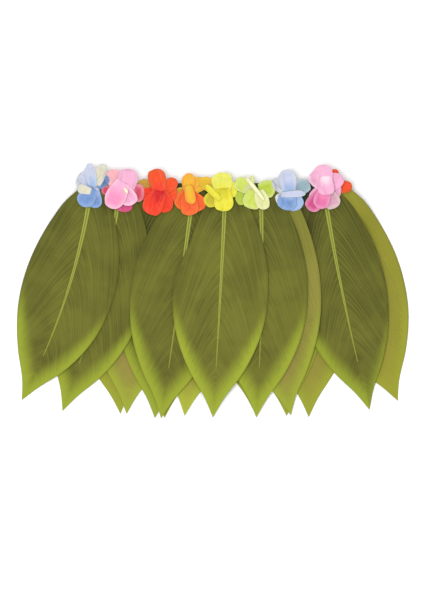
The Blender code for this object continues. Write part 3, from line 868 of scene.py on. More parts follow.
def vein_runs(leaf, tree, sizes):
    """The raised side veins of one leaf, from the midrib towards its edge and tip."""
    length = leaf_length(leaf)
    wide = sizes.vein_half / MM
    runs = []
    for side in (-1.0, 1.0):
        for start in np.arange(sizes.vein_first / MM, length * VEIN_LAST, sizes.vein_pitch / MM):
            places = []
            for away in np.arange(VEIN_STEP, leaf["left_half"], VEIN_STEP):
                down = start + VEIN_OFFSET * side + away * VEIN_SLOPE + away * away * VEIN_BEND
                share = np.array([down / length])
                if share[0] > VEIN_END:
                    break
                half = leaf_halves(leaf, share, side)[0]
                if away > half * VEIN_REACH:
                    break
                places.append(leaf_plan(leaf, share, side * away / half)[0])
            run = leaf_top(tree, places, VEIN_RISE)
            if len(run) >= VEIN_FEWEST_POINTS:
                runs.append((run, np.linspace(wide, wide / VEIN_TAPER, len(run))))
    return runs


def raise_veins(leaf, settings):
    """The side veins raised on a leaf's upper face."""
    runs = vein_runs(leaf, laid_tree(leaf["name"]), settings.sizes)
    cloth = material("vein", vein_material, settings.colours)
    name = "veins_" + number_of(leaf["name"])
    return finished(strands(name, runs, VEIN_PROFILE_POINTS, VEIN_HEIGHT, 0.0, cloth), "leaf_front")


# The pressed loop's height, the steps round a fold, and the distance between places along it
BAND_HEIGHT = 5.0
BAND_FOLD_STEPS = 12
BAND_STEP = 4.0
BAND_ROWS = 9


def band_loop(inset):
    """Places (x, z) round the pressed ribbon loop, this far inside its outer face."""
    low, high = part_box("waistband")
    radius = BAND_HEIGHT / 2 - inset
    middle = low.z / MM + BAND_HEIGHT / 2
    left = low.x / MM + BAND_HEIGHT / 2
    right = high.x / MM - BAND_HEIGHT / 2
    loop = []
    for centre, start, toward in ((right, -90.0, left), (left, 90.0, right)):
        for step in range(BAND_FOLD_STEPS + 1):
            angle = math.radians(start + 180.0 * step / BAND_FOLD_STEPS)
            loop.append((centre + radius * math.cos(angle), middle + radius * math.sin(angle)))
        x, z = loop[-1]
        count = int(abs(toward - centre) / BAND_STEP)
        loop += [(x + (toward - x) * step / count, z) for step in range(1, count)]
    return loop


def lay_ribbon(settings):
    """The waistband: one loop of ribbon, pressed flat."""
    sizes = settings.sizes
    low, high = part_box("waistband")
    loop = band_loop(BAND_WALL / 2)
    rows = np.linspace(low.y / MM, high.y / MM, BAND_ROWS)
    points = []
    for y in rows:
        points += [(x, y, z) for x, z in loop]
    count = len(loop)
    faces = []
    for row in range(BAND_ROWS - 1):
        for step in range(count):
            after = (step + 1) % count
            start = row * count
            faces.append((start + step, start + count + step, start + count + after, start + after))
    obj = make_mesh("waistband_ribbon", points, faces)
    thicken(obj, sizes.ribbon_cloth, [material("ribbon", ribbon_material, settings.colours)], offset=0.0)
    HEAP.add("waistband", np.array(points), faces, sizes.ribbon_cloth / MM / 2)
    finished(obj, "waistband", "waistband")
    around = sum(math.dist(loop[step], loop[step - 1]) for step in range(count)) * MM
    return obj, around


def stitch_growth():
    """Small round-ended stitches at even distances along each path."""
    inputs = (
        ("Pitch", "NodeSocketFloat", 0.0034),
        ("Length", "NodeSocketFloat", 0.0022),
        ("Thickness", "NodeSocketFloat", 0.0005),
        ("Material", "NodeSocketMaterial", None),
    )
    growth = Growth("stitch_run", inputs)
    start = growth.start
    curve = growth.node("GeometryNodeMeshToCurve", {0: start["Geometry"]}).outputs[0]
    inputs = {"Curve": curve, "Length": start["Pitch"]}
    points = growth.node("GeometryNodeResampleCurve", inputs, mode="LENGTH").outputs[0]
    along = growth.node("GeometryNodeInputTangent").outputs[0]
    turn = growth.node("FunctionNodeAlignRotationToVector", {"Vector": along}, axis="X").outputs[0]
    seed = growth.node("GeometryNodeMeshIcoSphere", {"Radius": 0.5, "Subdivisions": 1}).outputs[0]
    inputs = {0: start["Length"], 1: start["Thickness"], 2: start["Thickness"]}
    size = growth.node("ShaderNodeCombineXYZ", inputs).outputs[0]
    inputs = {"Points": points, "Instance": seed, "Rotation": turn, "Scale": size}
    return growth.finish(growth.node("GeometryNodeInstanceOnPoints", inputs).outputs[0])


# A stitch's length as a share of the pitch
STITCH_SHARE = 0.65
STITCH_THICKNESS = 0.5 * MM


def sew_ribbon(settings):
    """Running stitches along both edges of the ribbon, on its outer face all round."""
    low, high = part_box("waistband")
    loop = band_loop((BAND_WALL - settings.sizes.ribbon_cloth / MM) / 2)
    inset = settings.sizes.stitch_inset / MM
    runs = []
    for y in (low.y / MM + inset, high.y / MM - inset):
        run = [(x, y, z) for x, z in loop + loop[:1]]
        runs.append((run, [1.0] * len(run)))
    obj = path_object("waistband_stitches", runs)
    values = {
        "Pitch": settings.sizes.stitch_pitch,
        "Length": settings.sizes.stitch_pitch * STITCH_SHARE,
        "Thickness": STITCH_THICKNESS,
        "Material": material("thread", thread_material, settings.colours),
    }
    obj = grow(obj, growth_named("stitches", stitch_growth), values)
    obj.data.shade_smooth()
    return finished(obj, "waistband")


PETAL_ROWS = 22
PETAL_COLUMNS_ACROSS = 19
PETAL_WIDEST = 0.6
PETAL_NECK = 0.66
PETAL_FULLNESS = 2.2

# Bends of a petal as shares of its half width, and how much of them is left where it lies face down
OUTLINE_WOBBLE = 0.028
RUFFLE_SHARE = 0.05
PLEAT_SHARE = 0.03
TROUGH_SHARE = 0.10
TIP_FALL = 0.22
FACE_DOWN_BEND = 0.4
# How much closer together the bends run round a petal's tip than along its sides
TIP_TURN = 1.6
# Pleats across a petal, its middle trough's width, and where its tip starts to fall
PLEATS = 3.4
TROUGH_WIDTH = 0.34
FALL_FROM = 0.78


def petal_width(u):
    """Half width of a petal down its length, as a share of its widest half."""
    neck = PETAL_NECK + (1 - PETAL_NECK) * np.sin(math.pi / 2 * np.clip(u / PETAL_WIDEST, 0, 1))
    past = np.clip((u - PETAL_WIDEST) / (1 - PETAL_WIDEST), 0, 1)
    return np.where(u < PETAL_WIDEST, neck, (1 - past**PETAL_FULLNESS) ** (1 / PETAL_FULLNESS))


def petal_length(petal):
    return math.hypot(petal["tip_dx"] - petal["root_dx"], petal["tip_dy"] - petal["root_dy"])


def petal_sheet(petal, hub, base, phase, face_down=False):
    """Underside points of one petal, row by row, with the values that its dye needs."""
    root = hub + np.array((petal["root_dx"], petal["root_dy"]))
    length = petal_length(petal)
    along = (hub + np.array((petal["tip_dx"], petal["tip_dy"])) - root) / length
    side = np.array((-along[1], along[0]))
    u = np.sin(np.linspace(0.0, math.pi / 2, PETAL_ROWS))
    c = np.linspace(-1.0, 1.0, PETAL_COLUMNS_ACROSS)
    u_grid, c_grid = np.meshgrid(u, c, indexing="ij")
    half = petal["half"] * petal_width(u_grid)
    # Taken from the narrowed width, so that all of the last row's points share one place at the tip
    round_at = np.arctan2(c_grid * petal_width(u_grid), (u_grid - PETAL_WIDEST) * TIP_TURN)
    near_rim = np.maximum(np.abs(c_grid) ** 2, smooth_step(u_grid, 0.55, 1.0))
    wobble = np.sin(3 * round_at + phase) + 0.6 * np.sin(5 * round_at + 2.3 * phase)
    wobble = OUTLINE_WOBBLE * wobble * near_rim
    # None at the tip, where the rows are too close together to sway without folding over
    wobble = wobble * smooth_step(u_grid, 0.0, 0.3) * (1 - smooth_step(u_grid, 0.9, 1.0))
    down = u_grid * length * (1 + wobble * smooth_step(u_grid, 0.4, 1.0))
    plan = root + down[..., None] * along + (c_grid * half * (1 + wobble))[..., None] * side
    if face_down:
        rise = petal["root_z"] * np.clip(1 - u_grid / BACK_FLAT_SHARE, 0.0, 1.0) ** 1.5
        cup = 0.0
    else:
        rise = petal["root_z"] + (petal["tip_z"] - petal["root_z"]) * u_grid**1.2
        cup = petal["cup"] * c_grid**2 * np.sin(math.pi * u_grid * 0.85)
    ruffle = np.sin(4 * round_at + 1.7 * phase) + 0.5 * np.sin(7 * round_at + phase)
    ruffle = RUFFLE_SHARE * ruffle * near_rim * smooth_step(u_grid, 0.15, 0.6)
    pleats = PLEAT_SHARE * np.cos(PLEATS * math.pi * c_grid + phase)
    pleats = pleats * np.sin(math.pi * np.clip(u_grid, 0, 1) ** 0.7)
    trough = -TROUGH_SHARE * np.exp(-((c_grid / TROUGH_WIDTH) ** 2)) * (1 - u_grid) * u_grid * 4
    fall = -TIP_FALL * smooth_step(u_grid, FALL_FROM, 1.0) ** 2
    bends = (ruffle + pleats + trough + fall) * (FACE_DOWN_BEND if face_down else 1.0)
    heights = np.maximum(base + rise + cup + bends * petal["half"], base)
    rim = np.minimum(1 - np.abs(c_grid), (1 - u_grid) * length / petal["half"])
    return plan, heights, u_grid, c_grid, rim


# Blossoms of the back, right to left: height of the hub, dyes of heart, blade and rim
BACK_BLOSSOM_COLUMNS = ("node", "hub_height", "heart", "blade", "rim")
BACK_BLOSSOMS = (
    ("blossom_back_10", 7.0, "scarlet", "orange", "tangerine"),
    ("blossom_back_11", 8.5, "deep_yellow", "yellow", "lemon"),
    ("blossom_back_12", 7.0, "leaf_lime", "lime", "pale_lime"),
    ("blossom_back_13", 8.5, "blue", "sky", "mist"),
    ("blossom_back_14", 7.0, "magenta", "pink", "shell"),
    ("blossom_back_15", 9.0, "crimson", "red", "scarlet"),
    ("blossom_back_16", 7.0, "scarlet", "orange", "tangerine"),
)
# Place of the first one's hub and the pitch from each to the next
BACK_FIRST_X = 142.0
BACK_PITCH = 48.0
BACK_BLOSSOM_Y = 136.0
# Its petals, and the share of their length from which they lie flat
BACK_BLOSSOM_PETALS = 5
BACK_PETAL_REACH = 19.0
BACK_PETAL_HALF = 9.6
BACK_FLAT_SHARE = 0.5


def back_petals(blossom):
    """Five petals round the hub of a blossom that lies face down."""
    dyes = (blossom["heart"], blossom["blade"], blossom["rim"])
    rows = []
    for petal in range(BACK_BLOSSOM_PETALS):
        turn = math.radians(90.0 + 360.0 * petal / BACK_BLOSSOM_PETALS)
        tip = (BACK_PETAL_REACH * math.cos(turn), BACK_PETAL_REACH * math.sin(turn))
        rows.append((0.0, 0.0) + tip + (BACK_PETAL_HALF, blossom["hub_height"] - 1.0, 0.0, 0.0) + dyes)
    return rows


# How much of the rim's dye a petal's edge takes, and how far in, as a share of the half width
RIM_DYE = 0.5
RIM_REACH = 0.6
# The heart's dye fades between these shares of the length, and this much sooner to the sides
HEART_FROM = 0.18
HEART_TO = 0.62
HEART_SIDES = 0.45


def petal_dyes(petal, u, c, rim):
    """Colour of each point: heart near the root, blade, then the rim."""
    heart, blade, edge = (np.array(DYES[petal[key]]) for key in ("heart", "blade", "rim"))
    near = (1 - smooth_step(np.hypot(u, HEART_SIDES * c), HEART_FROM, HEART_TO))[..., None]
    colour = blade * (1 - near) + heart * near
    share = (RIM_DYE * (1 - smooth_step(rim, 0.0, RIM_REACH)))[..., None]
    return colour * (1 - share) + edge * share


def joined(parts):
    """Points, faces and values of several sheets as one."""
    points, faces, values = [], [], {}
    for part_points, part_faces, part_values in parts:
        start = sum(len(done) for done in points)
        points.append(part_points)
        faces += [tuple(corner + start for corner in face) for face in part_faces]
        for key, data in part_values.items():
            values.setdefault(key, []).append(data)
    return np.concatenate(points), faces, {key: np.concatenate(data) for key, data in values.items()}


# How far each petal's bends are set off from the last one's
PETAL_PHASE = 2.9


def lay_petals(name, hub, rows, settings, face_down=False):
    """The petals of one blossom, laid one over another on the heap, or face down on the floor."""
    sizes = settings.sizes
    petals = named(PETAL_COLUMNS, rows)
    hub = np.array(hub) + SHIFT
    base = FLOOR_GAP if face_down else HEAP.top(*hub)
    parts = []
    for order, petal in enumerate(petals):
        phase = PETAL_PHASE * order + hub[0]
        plan, heights, u, c, rim = petal_sheet(petal, hub, base, phase, face_down)
        heights = lie_on_heap(plan, heights, sizes.layer_gap / MM)
        points = np.column_stack((joined_rows(plan), joined_rows(heights)))
        rows_count, columns = heights.shape
        faces = sheet_faces(rows_count - 1, columns) + tip_faces(rows_count - 1, columns)
        count = len(points)
        values = {
            "dye": joined_rows(petal_dyes(petal, u, c, rim)),
            "along": joined_rows(u),
            "spread": joined_rows(c),
            "number": np.full(count, phase),
        }
        HEAP.add(name, points, faces, sizes.petal_cloth / MM)
        parts.append((points, faces, values))
    points, faces, values = joined(parts)
    obj = make_mesh(name, points, faces, values)
    thicken(obj, sizes.petal_cloth, [material("petal_satin", petal_material)])
    return obj, petals


# How much longer a petal's cut is than its outline from above
CURL_ALLOWANCE = 1.08


def declare_petals(obj, petals):
    """Works out the area of the petals' cut, side by side in one strip of cloth as wide as the longest petal,
    but keeps it nowhere.

    A petal is curled and cupped, so its cut is the curved sheet's own area and not its outline's.
    """
    area = sum(face.area for face in obj.data.polygons)
    width = max(petal_length(petal) for petal in petals) * MM * CURL_ALLOWANCE
    length = sum(2 * petal["half"] for petal in petals) * MM * CURL_ALLOWANCE
    area = min(area, width * length)


class Paint(Nodes):
    """A material's shader nodes."""

    def __init__(self, name, roughness=0.8, sheen=0.0):
        self.material = bpy.data.materials.new(name)
        self.material.use_nodes = True
        self.tree = self.material.node_tree
        self.surface = self.tree.nodes["Principled BSDF"]
        self.surface.inputs["Roughness"].default_value = roughness
        self.surface.inputs["Sheen Weight"].default_value = sheen
        self.surface.inputs["Specular IOR Level"].default_value = 0.2

    def value(self, name):
        return self.node("ShaderNodeAttribute", attribute_name=name).outputs["Fac"]

    def colour(self, name):
        return self.node("ShaderNodeAttribute", attribute_name=name).outputs["Color"]

    def vector(self, x, y, z=0.0):
        return self.node("ShaderNodeCombineXYZ", {0: x, 1: y, 2: z}).outputs[0]

    def place(self):
        return self.node("ShaderNodeTexCoord").outputs["Object"]

    def noise(self, vector, scale, detail=2.0, rough=0.5):
        inputs = {"Vector": vector, "Scale": scale, "Detail": detail, "Roughness": rough}
        return self.node("ShaderNodeTexNoise", inputs).outputs["Fac"]

    def steps(self, value, low, high, start=0.0, end=1.0):
        inputs = {"Value": value, "From Min": low, "From Max": high, "To Min": start, "To Max": end}
        made = self.node("ShaderNodeMapRange", inputs, interpolation_type="SMOOTHSTEP")
        return made.outputs["Result"]

    def mix(self, share, first, second, blend="MIX"):
        made = self.node("ShaderNodeMix", data_type="RGBA", blend_type=blend)
        for place, value in ((0, share), (6, first), (7, second)):
            self.feed(made.inputs[place], value)
        return made.outputs[2]

    def bump(self, height, strength, distance):
        inputs = {"Height": height, "Strength": strength, "Distance": distance}
        self.feed(self.surface.inputs["Normal"], self.node("ShaderNodeBump", inputs).outputs[0])

    def finish(self, colour):
        self.feed(self.surface.inputs["Base Color"], colour)
        return self.material


def vein_place(paint):
    """Place across the veins in millimetres, place from the midrib, and the leaf's own number."""
    rib = paint.value("from_rib")
    away = paint.math("ABSOLUTE", rib)
    bend = paint.math("MULTIPLY", paint.math("MULTIPLY", away, away), VEIN_BEND)
    fall = paint.math("MULTIPLY_ADD", away, VEIN_SLOPE, bend)
    return paint.math("SUBTRACT", paint.value("down"), fall), rib, paint.value("number")


def streaks(paint, across, rib, number, width, length, detail=2.0):
    """Brushed lines of about this width that follow the veins, from 0 to 1."""
    turn = paint.math("MULTIPLY_ADD", number, 3.7, 0.0)
    x = paint.math("MULTIPLY", across, 1.0 / width)
    y = paint.math("MULTIPLY", rib, 1.0 / length)
    return paint.noise(paint.vector(x, y, turn), 1.0, detail)


# How bright a leaf is at its root against its middle: painted shade that darkens it towards the root
ROOT_PAINTED_SHADE_TONE = 0.82


def leaf_dye(name, body, shade, streak, border, border_reach, tip_from, heart=None):
    """A leaf's print: brushed body, border that widens to its reach in millimetres, and bright tip, darkened
    by painted shade.
    """
    paint = Paint(name, roughness=0.82, sheen=0.12)
    across, rib, number = vein_place(paint)
    fine = streaks(paint, across, rib, number, width=2.2, length=30.0, detail=1.0)
    broad = streaks(paint, across, rib, number, width=11.0, length=70.0, detail=2.0)
    cloud = paint.noise(paint.place(), 22.0, 2.0)
    colour = paint.mix(paint.steps(cloud, 0.35, 0.68), shade, body)
    colour = paint.mix(paint.steps(broad, 0.40, 0.72, 0.0, 0.35), colour, streak)
    colour = paint.mix(paint.steps(fine, 0.50, 0.76, 0.0, 0.60), colour, streak)
    colour = paint.mix(paint.steps(fine, 0.50, 0.26, 0.0, 0.40), colour, shade)
    if heart is not None:
        pale = paint.steps(paint.value("from_edge"), 12.0, 42.0, 0.0, 0.75)
        colour = paint.mix(pale, colour, heart)
    share = paint.value("share")
    brushed = paint.math("MULTIPLY_ADD", fine, 14.0, -7.0)
    edge = paint.math("ADD", paint.value("from_edge"), brushed)
    width = paint.steps(share, 0.40, 0.82, 4.0, border_reach)
    inside = paint.math("DIVIDE", edge, width)
    rim = paint.steps(inside, 1.0, 0.05)
    low = paint.steps(share, 0.44, 0.70)
    amount = paint.math("MULTIPLY", rim, low)
    tip = paint.steps(paint.math("MULTIPLY_ADD", fine, 0.12, share), tip_from + 0.06, tip_from + 0.24)
    amount = paint.math("MAXIMUM", amount, paint.math("MULTIPLY", tip, 0.9))
    colour = paint.mix(amount, colour, border)
    # Painted shade: the leaf's shade spots and brightness, darkened further towards its root
    tone_and_painted_shade = paint.math("MULTIPLY", paint.value("tone_and_painted_shade"), paint.steps(share, 0.04, 0.46, ROOT_PAINTED_SHADE_TONE, 1.0))
    colour = paint.mix(1.0, colour, paint.vector(tone_and_painted_shade, tone_and_painted_shade, tone_and_painted_shade), "MULTIPLY")
    weave = paint.noise(paint.place(), 1400.0, 1.0)
    height = paint.math("MULTIPLY_ADD", fine, 1.0, paint.math("MULTIPLY", weave, 0.35))
    paint.bump(height, 0.55, 0.0006)
    return paint, colour


def leaf_outer_material(colours):
    paint, colour = leaf_dye(
        "leaf_outer",
        colours.leaf,
        colours.leaf_shade,
        colours.leaf_streak,
        colours.leaf_border,
        border_reach=32.0,
        tip_from=0.84,
    )
    return paint.finish(colour)


def leaf_inner_material(colours):
    paint, colour = leaf_dye(
        "leaf_inner",
        colours.inner,
        colours.inner_shade,
        colours.inner_streak,
        colours.inner_border,
        border_reach=24.0,
        tip_from=0.80,
        heart=colours.inner_heart,
    )
    yellow = paint.value("yellow")
    colour = paint.mix(paint.math("MULTIPLY", yellow, 0.8), colour, colours.inner_yellow)
    return paint.finish(colour)


def vein_material(colours):
    paint = Paint("vein", roughness=0.8, sheen=0.1)
    grain = paint.noise(paint.place(), 260.0, 2.0)
    return paint.finish(paint.mix(grain, colours.leaf, colours.leaf_streak))


def stem_material(colours):
    paint = Paint("stem", roughness=0.6, sheen=0.05)
    grain = paint.noise(paint.place(), 300.0, 2.0)
    side = paint.steps(paint.math("ABSOLUTE", paint.value("across")), 0.10, 0.42)
    # Painted shade: the strand's middle, where its groove is, darker than its sides
    colour = paint.mix(side, colours.stem_groove_shade_and_grain, colours.stem)
    # Flecks of the same darker green through the grain
    colour = paint.mix(paint.steps(grain, 0.35, 0.7, 0.0, 0.25), colour, colours.stem_groove_shade_and_grain)
    paint.bump(grain, 0.4, 0.0003)
    return paint.finish(colour)


def ribbon_material(colours):
    paint = Paint("ribbon", roughness=0.75, sheen=0.2)
    split = paint.node("ShaderNodeSeparateXYZ", {0: paint.place()}).outputs
    ribs = paint.math("SINE", paint.math("MULTIPLY", split[0], 2 * math.pi / 0.0011))
    grain = paint.noise(paint.place(), 700.0, 2.0)
    colour = paint.mix(paint.steps(grain, 0.3, 0.7), colours.ribbon, colours.ribbon_light)
    colour = paint.mix(paint.steps(ribs, -1.0, 1.0, 0.0, 0.3), colour, colours.ribbon_light)
    paint.bump(ribs, 0.5, 0.0003)
    return paint.finish(colour)


def thread_material(colours):
    paint = Paint("thread", roughness=0.7, sheen=0.1)
    grain = paint.noise(paint.place(), 900.0, 1.0)
    return paint.finish(paint.mix(grain, colours.ribbon_light, colours.leaf_streak))


def petal_material():
    paint = Paint("petal_satin", roughness=0.62, sheen=0.25)
    flow = paint.vector(
        paint.math("MULTIPLY", paint.value("along"), 2.2),
        paint.math("MULTIPLY", paint.value("spread"), 16.0),
        paint.value("number"),
    )
    lines = paint.noise(flow, 1.0, 3.0)
    cloud = paint.noise(paint.place(), 90.0, 2.0)
    dye = paint.colour("dye")
    light = paint.mix(0.30, dye, (1.0, 1.0, 1.0, 1.0))
    dark = paint.mix(1.0, dye, (0.84, 0.80, 0.80, 1.0), "MULTIPLY")
    colour = paint.mix(paint.steps(lines, 0.55, 0.80, 0.0, 0.45), dye, light)
    colour = paint.mix(paint.steps(cloud, 0.52, 0.30, 0.0, 0.45), colour, dark)
    weave = paint.noise(paint.place(), 1800.0, 1.0)
    height = paint.math("MULTIPLY_ADD", lines, 1.0, paint.math("MULTIPLY", weave, 0.3))
    paint.bump(height, 0.45, 0.0005)
    return paint.finish(colour)


def floor_material(colours):
    return Paint("floor", roughness=0.9).finish(colours.floor)


def count_property(name, description, default, least):
    return bpy.props.IntProperty(name=name, description=description, default=default, min=least)


def share_property(name, description, default):
    return bpy.props.FloatProperty(name=name, description=description, default=default)


def length_property(name, description, default):
    return bpy.props.FloatProperty(name=name, description=description, default=default, unit="LENGTH")


def dye_property(name, description, colour):
    return bpy.props.FloatVectorProperty(
        name=name, description=description, subtype="COLOR", size=4, min=0.0, max=1.0, default=colour
    )


class HulaSizes(bpy.types.PropertyGroup):
    leaf_rows: count_property("Leaf rows", "Rows down a leaf", 84, 12)
    leaf_columns: count_property("Leaf columns", "Columns across a leaf", 33, 5)
    leaf_cloth: length_property("Leaf cloth", "Thickness of a leaf's cloth", 0.0006)
    layer_gap: length_property("Layer gap", "Least room between two layers", 0.0003)
    petal_cloth: length_property("Petal cloth", "Thickness of a petal's cloth", 0.0005)
    stem_points: count_property("Stem points", "Points down a stem", 60, 8)
    stem_start: share_property("Stem start", "Share of the leaf's length", 0.02)
    stem_end: share_property("Stem end", "Share of the leaf's length", 0.78)
    stem_half: length_property("Stem half width", "Half width at the leaf's root", 0.0034)
    stem_tip_half: length_property("Stem end half width", "Half width where the stem ends", 0.0005)
    stem_height_share: share_property("Stem height", "Height of the stem as a share of its half width", 0.42)
    stem_rise: length_property("Stem rise", "Middle of the stem over its leaf", 0.00035)
    vein_first: length_property("First vein", "Where the first side vein leaves the midrib", 0.012)
    vein_pitch: length_property("Vein pitch", "Distance between side veins down the midrib", 0.0105)
    vein_half: length_property("Vein half width", "Half width of a side vein at the midrib", 0.0004)
    ribbon_cloth: length_property("Ribbon cloth", "Thickness of the waistband's ribbon", 0.0008)
    stitch_pitch: length_property("Stitch pitch", "Distance between stitches", 0.0034)
    stitch_inset: length_property("Stitch inset", "Stitches' distance from the ribbon's edge", 0.0025)
    edge_wave: length_property("Edge wave", "Height of the waves along a leaf's edges", 0.0012)
    edge_curl: length_property("Edge curl", "How far a leaf's edges turn up", 0.0012)


class HulaColours(bpy.types.PropertyGroup):
    leaf: dye_property("Leaf", "Printed green of a leaf's outer face", ink(107, 108, 40))
    leaf_shade: dye_property("Leaf shade", "Darker green between the veins", ink(90, 90, 33))
    leaf_streak: dye_property("Leaf streak", "Lighter green along the veins", ink(123, 126, 49))
    leaf_border: dye_property("Leaf border", "Bright green at the leaf's lower edges", ink(150, 162, 50))
    inner: dye_property("Inner face", "Tan of a leaf's inner face", ink(137, 130, 62))
    inner_shade: dye_property("Inner shade", "Darker tan between the veins", ink(124, 122, 54))
    inner_streak: dye_property("Inner streak", "Lighter tan along the veins", ink(152, 147, 72))
    inner_border: dye_property("Inner border", "Green at the inner face's lower edges", ink(152, 164, 56))
    inner_heart: dye_property("Inner heart", "Pinkish middle of a leaf's inner face", ink(150, 128, 76))
    inner_yellow: dye_property("Inner yellow", "Yellow green of a leaf turned over", ink(150, 148, 45))
    stem: dye_property("Stem", "Pale green of the midrib", ink(156, 164, 62))
    # Darker green: painted shade in the midrib's groove, also flecked through its grain
    stem_groove_shade_and_grain: dye_property("Stem groove shade", "Darker line down the midrib", ink(112, 118, 42))
    ribbon: dye_property("Ribbon", "Dark green of the waistband", ink(34, 52, 26))
    ribbon_light: dye_property("Ribbon light", "Lighter threads of the waistband", ink(52, 74, 38))
    floor: dye_property("Floor", "Pale floor", (0.92, 0.92, 0.92, 1.0))


class HulaStage(bpy.types.PropertyGroup):
    camera_height: length_property("Camera height", "Height of the camera over the floor", 6.0)
    view_height: length_property("View height", "Length of floor that the picture's tall side shows", 0.87)
    view_x: length_property("View X", "Middle of the picture", -0.001)
    view_y: length_property("View Y", "Middle of the picture", -0.0128)
    sky: share_property("Sky", "Strength of the even light", 0.56)
    key: share_property("Key", "Power of the large soft light, in watts", 60.0)


class HulaSettings(bpy.types.PropertyGroup):
    sizes: bpy.props.PointerProperty(type=HulaSizes)
    colours: bpy.props.PointerProperty(type=HulaColours)
    stage: bpy.props.PointerProperty(type=HulaStage)


def material(name, make, *values):
    found = bpy.data.materials.get(name)
    return found if found is not None else make(*values)


def leaf_materials(colours):
    return {
        "leaf_outer": material("leaf_outer", leaf_outer_material, colours),
        "leaf_inner": material("leaf_inner", leaf_inner_material, colours),
    }


class HULA_OT_back_leaves(bpy.types.Operator):
    """Lays the seven leaves of the skirt's back, inner faces up"""

    bl_idname = "hula.back_leaves"
    bl_label = "Back leaves"

    def execute(self, context):
        settings = context.scene.hula
        materials = leaf_materials(settings.colours)
        for leaf in named(LEAF_COLUMNS, BACK_LEAVES):
            lay_leaf(leaf, settings, materials)
        return {"FINISHED"}


class HULA_OT_front_leaves(bpy.types.Operator):
    """Lays the leaf at the fold and the eight leaves of the skirt's front"""

    bl_idname = "hula.front_leaves"
    bl_label = "Front leaves"

    def execute(self, context):
        settings = context.scene.hula
        materials = leaf_materials(settings.colours)
        for leaf in named(LEAF_COLUMNS, FRONT_LEAVES):
            lay_leaf(leaf, settings, materials)
        return {"FINISHED"}


class HULA_OT_back_blossoms(bpy.types.Operator):
    """Lays the back's blossoms face down on the floor"""

    bl_idname = "hula.back_blossoms"
    bl_label = "Back blossoms"

    def execute(self, context):
        for place, blossom in enumerate(named(BACK_BLOSSOM_COLUMNS, BACK_BLOSSOMS)):
            hub = (BACK_FIRST_X - place * BACK_PITCH, BACK_BLOSSOM_Y)
            name = blossom["node"] + "_petals"
            obj, petals = lay_petals(name, hub, back_petals(blossom), context.scene.hula, face_down=True)
            finished(obj, "blossom_back", blossom["node"])
            declare_petals(obj, petals)
        return {"FINISHED"}


class HULA_OT_waistband(bpy.types.Operator):
    """Lays the ribbon loop of the waistband and sews its edges"""

    bl_idname = "hula.waistband"
    bl_label = "Waistband"

    def execute(self, context):
        settings = context.scene.hula
        ribbon, around = lay_ribbon(settings)
        stitches = sew_ribbon(settings)
        return {"FINISHED"}


class HULA_OT_stems(bpy.types.Operator):
    """Sews a grooved stem down each leaf of the front"""

    bl_idname = "hula.stems"
    bl_label = "Stems"

    def execute(self, context):
        for leaf in named(LEAF_COLUMNS, FRONT_LEAVES):
            sew_stem(leaf, context.scene.hula)
        return {"FINISHED"}


class HULA_OT_veins(bpy.types.Operator):
    """Raises the side veins on each leaf of the front"""

    bl_idname = "hula.veins"
    bl_label = "Side veins"

    def execute(self, context):
        for leaf in named(LEAF_COLUMNS, FRONT_LEAVES):
            veins = raise_veins(leaf, context.scene.hula)
        return {"FINISHED"}


class HULA_OT_blossoms(bpy.types.Operator):
    """Lays the blossoms of the front and of the fold over the leaves' roots"""

    bl_idname = "hula.blossoms"
    bl_label = "Blossoms"

    def execute(self, context):
        for name, rows in BLOSSOMS.items():
            obj, petals = lay_petals(name + "_petals", HUBS[name], rows, context.scene.hula)
            nodes = [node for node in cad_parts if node.startswith(name + "_")]
            finished(obj, name, *nodes)
            declare_petals(obj, petals)
        return {"FINISHED"}


# The floor's reach from its middle and how far it lies under the skirt, in millimetres
FLOOR_REACH = 15000
FLOOR_DROP = 0.3
FLOOR_SIDES = ((-1, -1), (1, -1), (1, 1), (-1, 1))
FLOOR_CORNERS = [(x * FLOOR_REACH, y * FLOOR_REACH, -FLOOR_DROP) for x, y in FLOOR_SIDES]
# The soft light's sides and place, and the camera's sensor and far end, in metres but for the sensor
SOFTBOX_SIDES = (1.6, 1.2)
SOFTBOX_PLACE = (-0.2, 0.1, 2.6)
SENSOR_WIDTH = 36.0
CAMERA_REACH = 100.0


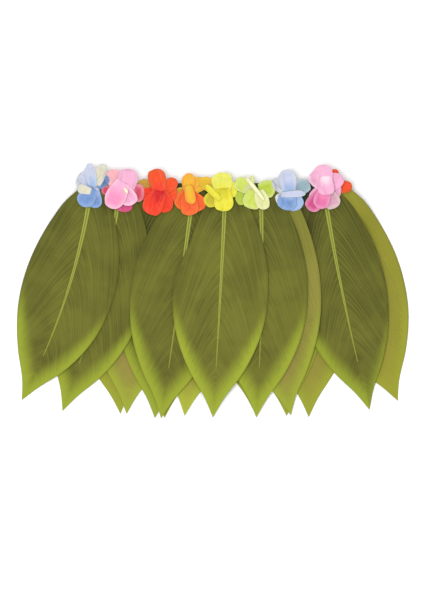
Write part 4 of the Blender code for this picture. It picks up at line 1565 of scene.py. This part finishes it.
class HULA_OT_stage(bpy.types.Operator):
    """Sets the pale floor, the soft studio light and the overhead camera"""

    bl_idname = "hula.stage"
    bl_label = "Stage"

    def execute(self, context):
        settings = context.scene.hula
        stage = settings.stage
        scene = context.scene
        floor = make_mesh("floor", FLOOR_CORNERS, [(0, 1, 2, 3)])
        floor.data.materials.append(material("floor", floor_material, settings.colours))
        world = bpy.data.worlds.new("studio")
        world.use_nodes = True
        background = world.node_tree.nodes["Background"].inputs
        background["Color"].default_value = (1.0, 1.0, 1.0, 1.0)
        background["Strength"].default_value = stage.sky
        scene.world = world
        lamp = bpy.data.lights.new("softbox", "AREA")
        lamp.shape = "RECTANGLE"
        lamp.size, lamp.size_y = SOFTBOX_SIDES
        lamp.energy = stage.key
        light = bpy.data.objects.new("softbox", lamp)
        light.location = SOFTBOX_PLACE
        light.rotation_mode = "QUATERNION"
        light.rotation_quaternion = light.location.to_track_quat("Z", "Y")
        scene.collection.objects.link(light)
        lens = bpy.data.cameras.new("overhead")
        lens.sensor_width = SENSOR_WIDTH
        lens.lens = SENSOR_WIDTH * stage.camera_height / stage.view_height
        lens.clip_end = CAMERA_REACH
        camera = bpy.data.objects.new("overhead", lens)
        camera.location = (stage.view_x, stage.view_y, stage.camera_height)
        scene.collection.objects.link(camera)
        scene.camera = camera
        scene.view_settings.view_transform = "Standard"
        return {"FINISHED"}


class HULA_PT_panel(bpy.types.Panel):
    """Hula skirt tools in the 3D view's sidebar"""

    bl_idname = "HULA_PT_panel"
    bl_label = "Hula skirt"
    bl_space_type = "VIEW_3D"
    bl_region_type = "UI"
    bl_category = "Hula skirt"

    def draw(self, context):
        settings = context.scene.hula
        for group in (settings.sizes, settings.colours, settings.stage):
            box = self.layout.box()
            for name in group.bl_rna.properties.keys():
                if name not in ("rna_type", "name"):
                    box.prop(group, name)
        for operator in OPERATORS:
            self.layout.operator(operator.bl_idname)


OPERATORS = (
    HULA_OT_back_blossoms,
    HULA_OT_back_leaves,
    HULA_OT_waistband,
    HULA_OT_front_leaves,
    HULA_OT_stems,
    HULA_OT_veins,
    HULA_OT_blossoms,
    HULA_OT_stage,
)
CLASSES = (HulaSizes, HulaColours, HulaStage, HulaSettings) + OPERATORS + (HULA_PT_panel,)


def register():
    for item in CLASSES:
        bpy.utils.register_class(item)
    bpy.types.Scene.hula = bpy.props.PointerProperty(type=HulaSettings)


def unregister():
    del bpy.types.Scene.hula
    for item in reversed(CLASSES):
        bpy.utils.unregister_class(item)


def main():
    register()
    bpy.ops.hula.back_blossoms()
    bpy.ops.hula.back_leaves()
    bpy.ops.hula.waistband()
    bpy.ops.hula.front_leaves()
    bpy.ops.hula.stems()
    bpy.ops.hula.veins()
    bpy.ops.hula.blossoms()
    bpy.ops.hula.stage()


if __name__ == "__main__":
    main()
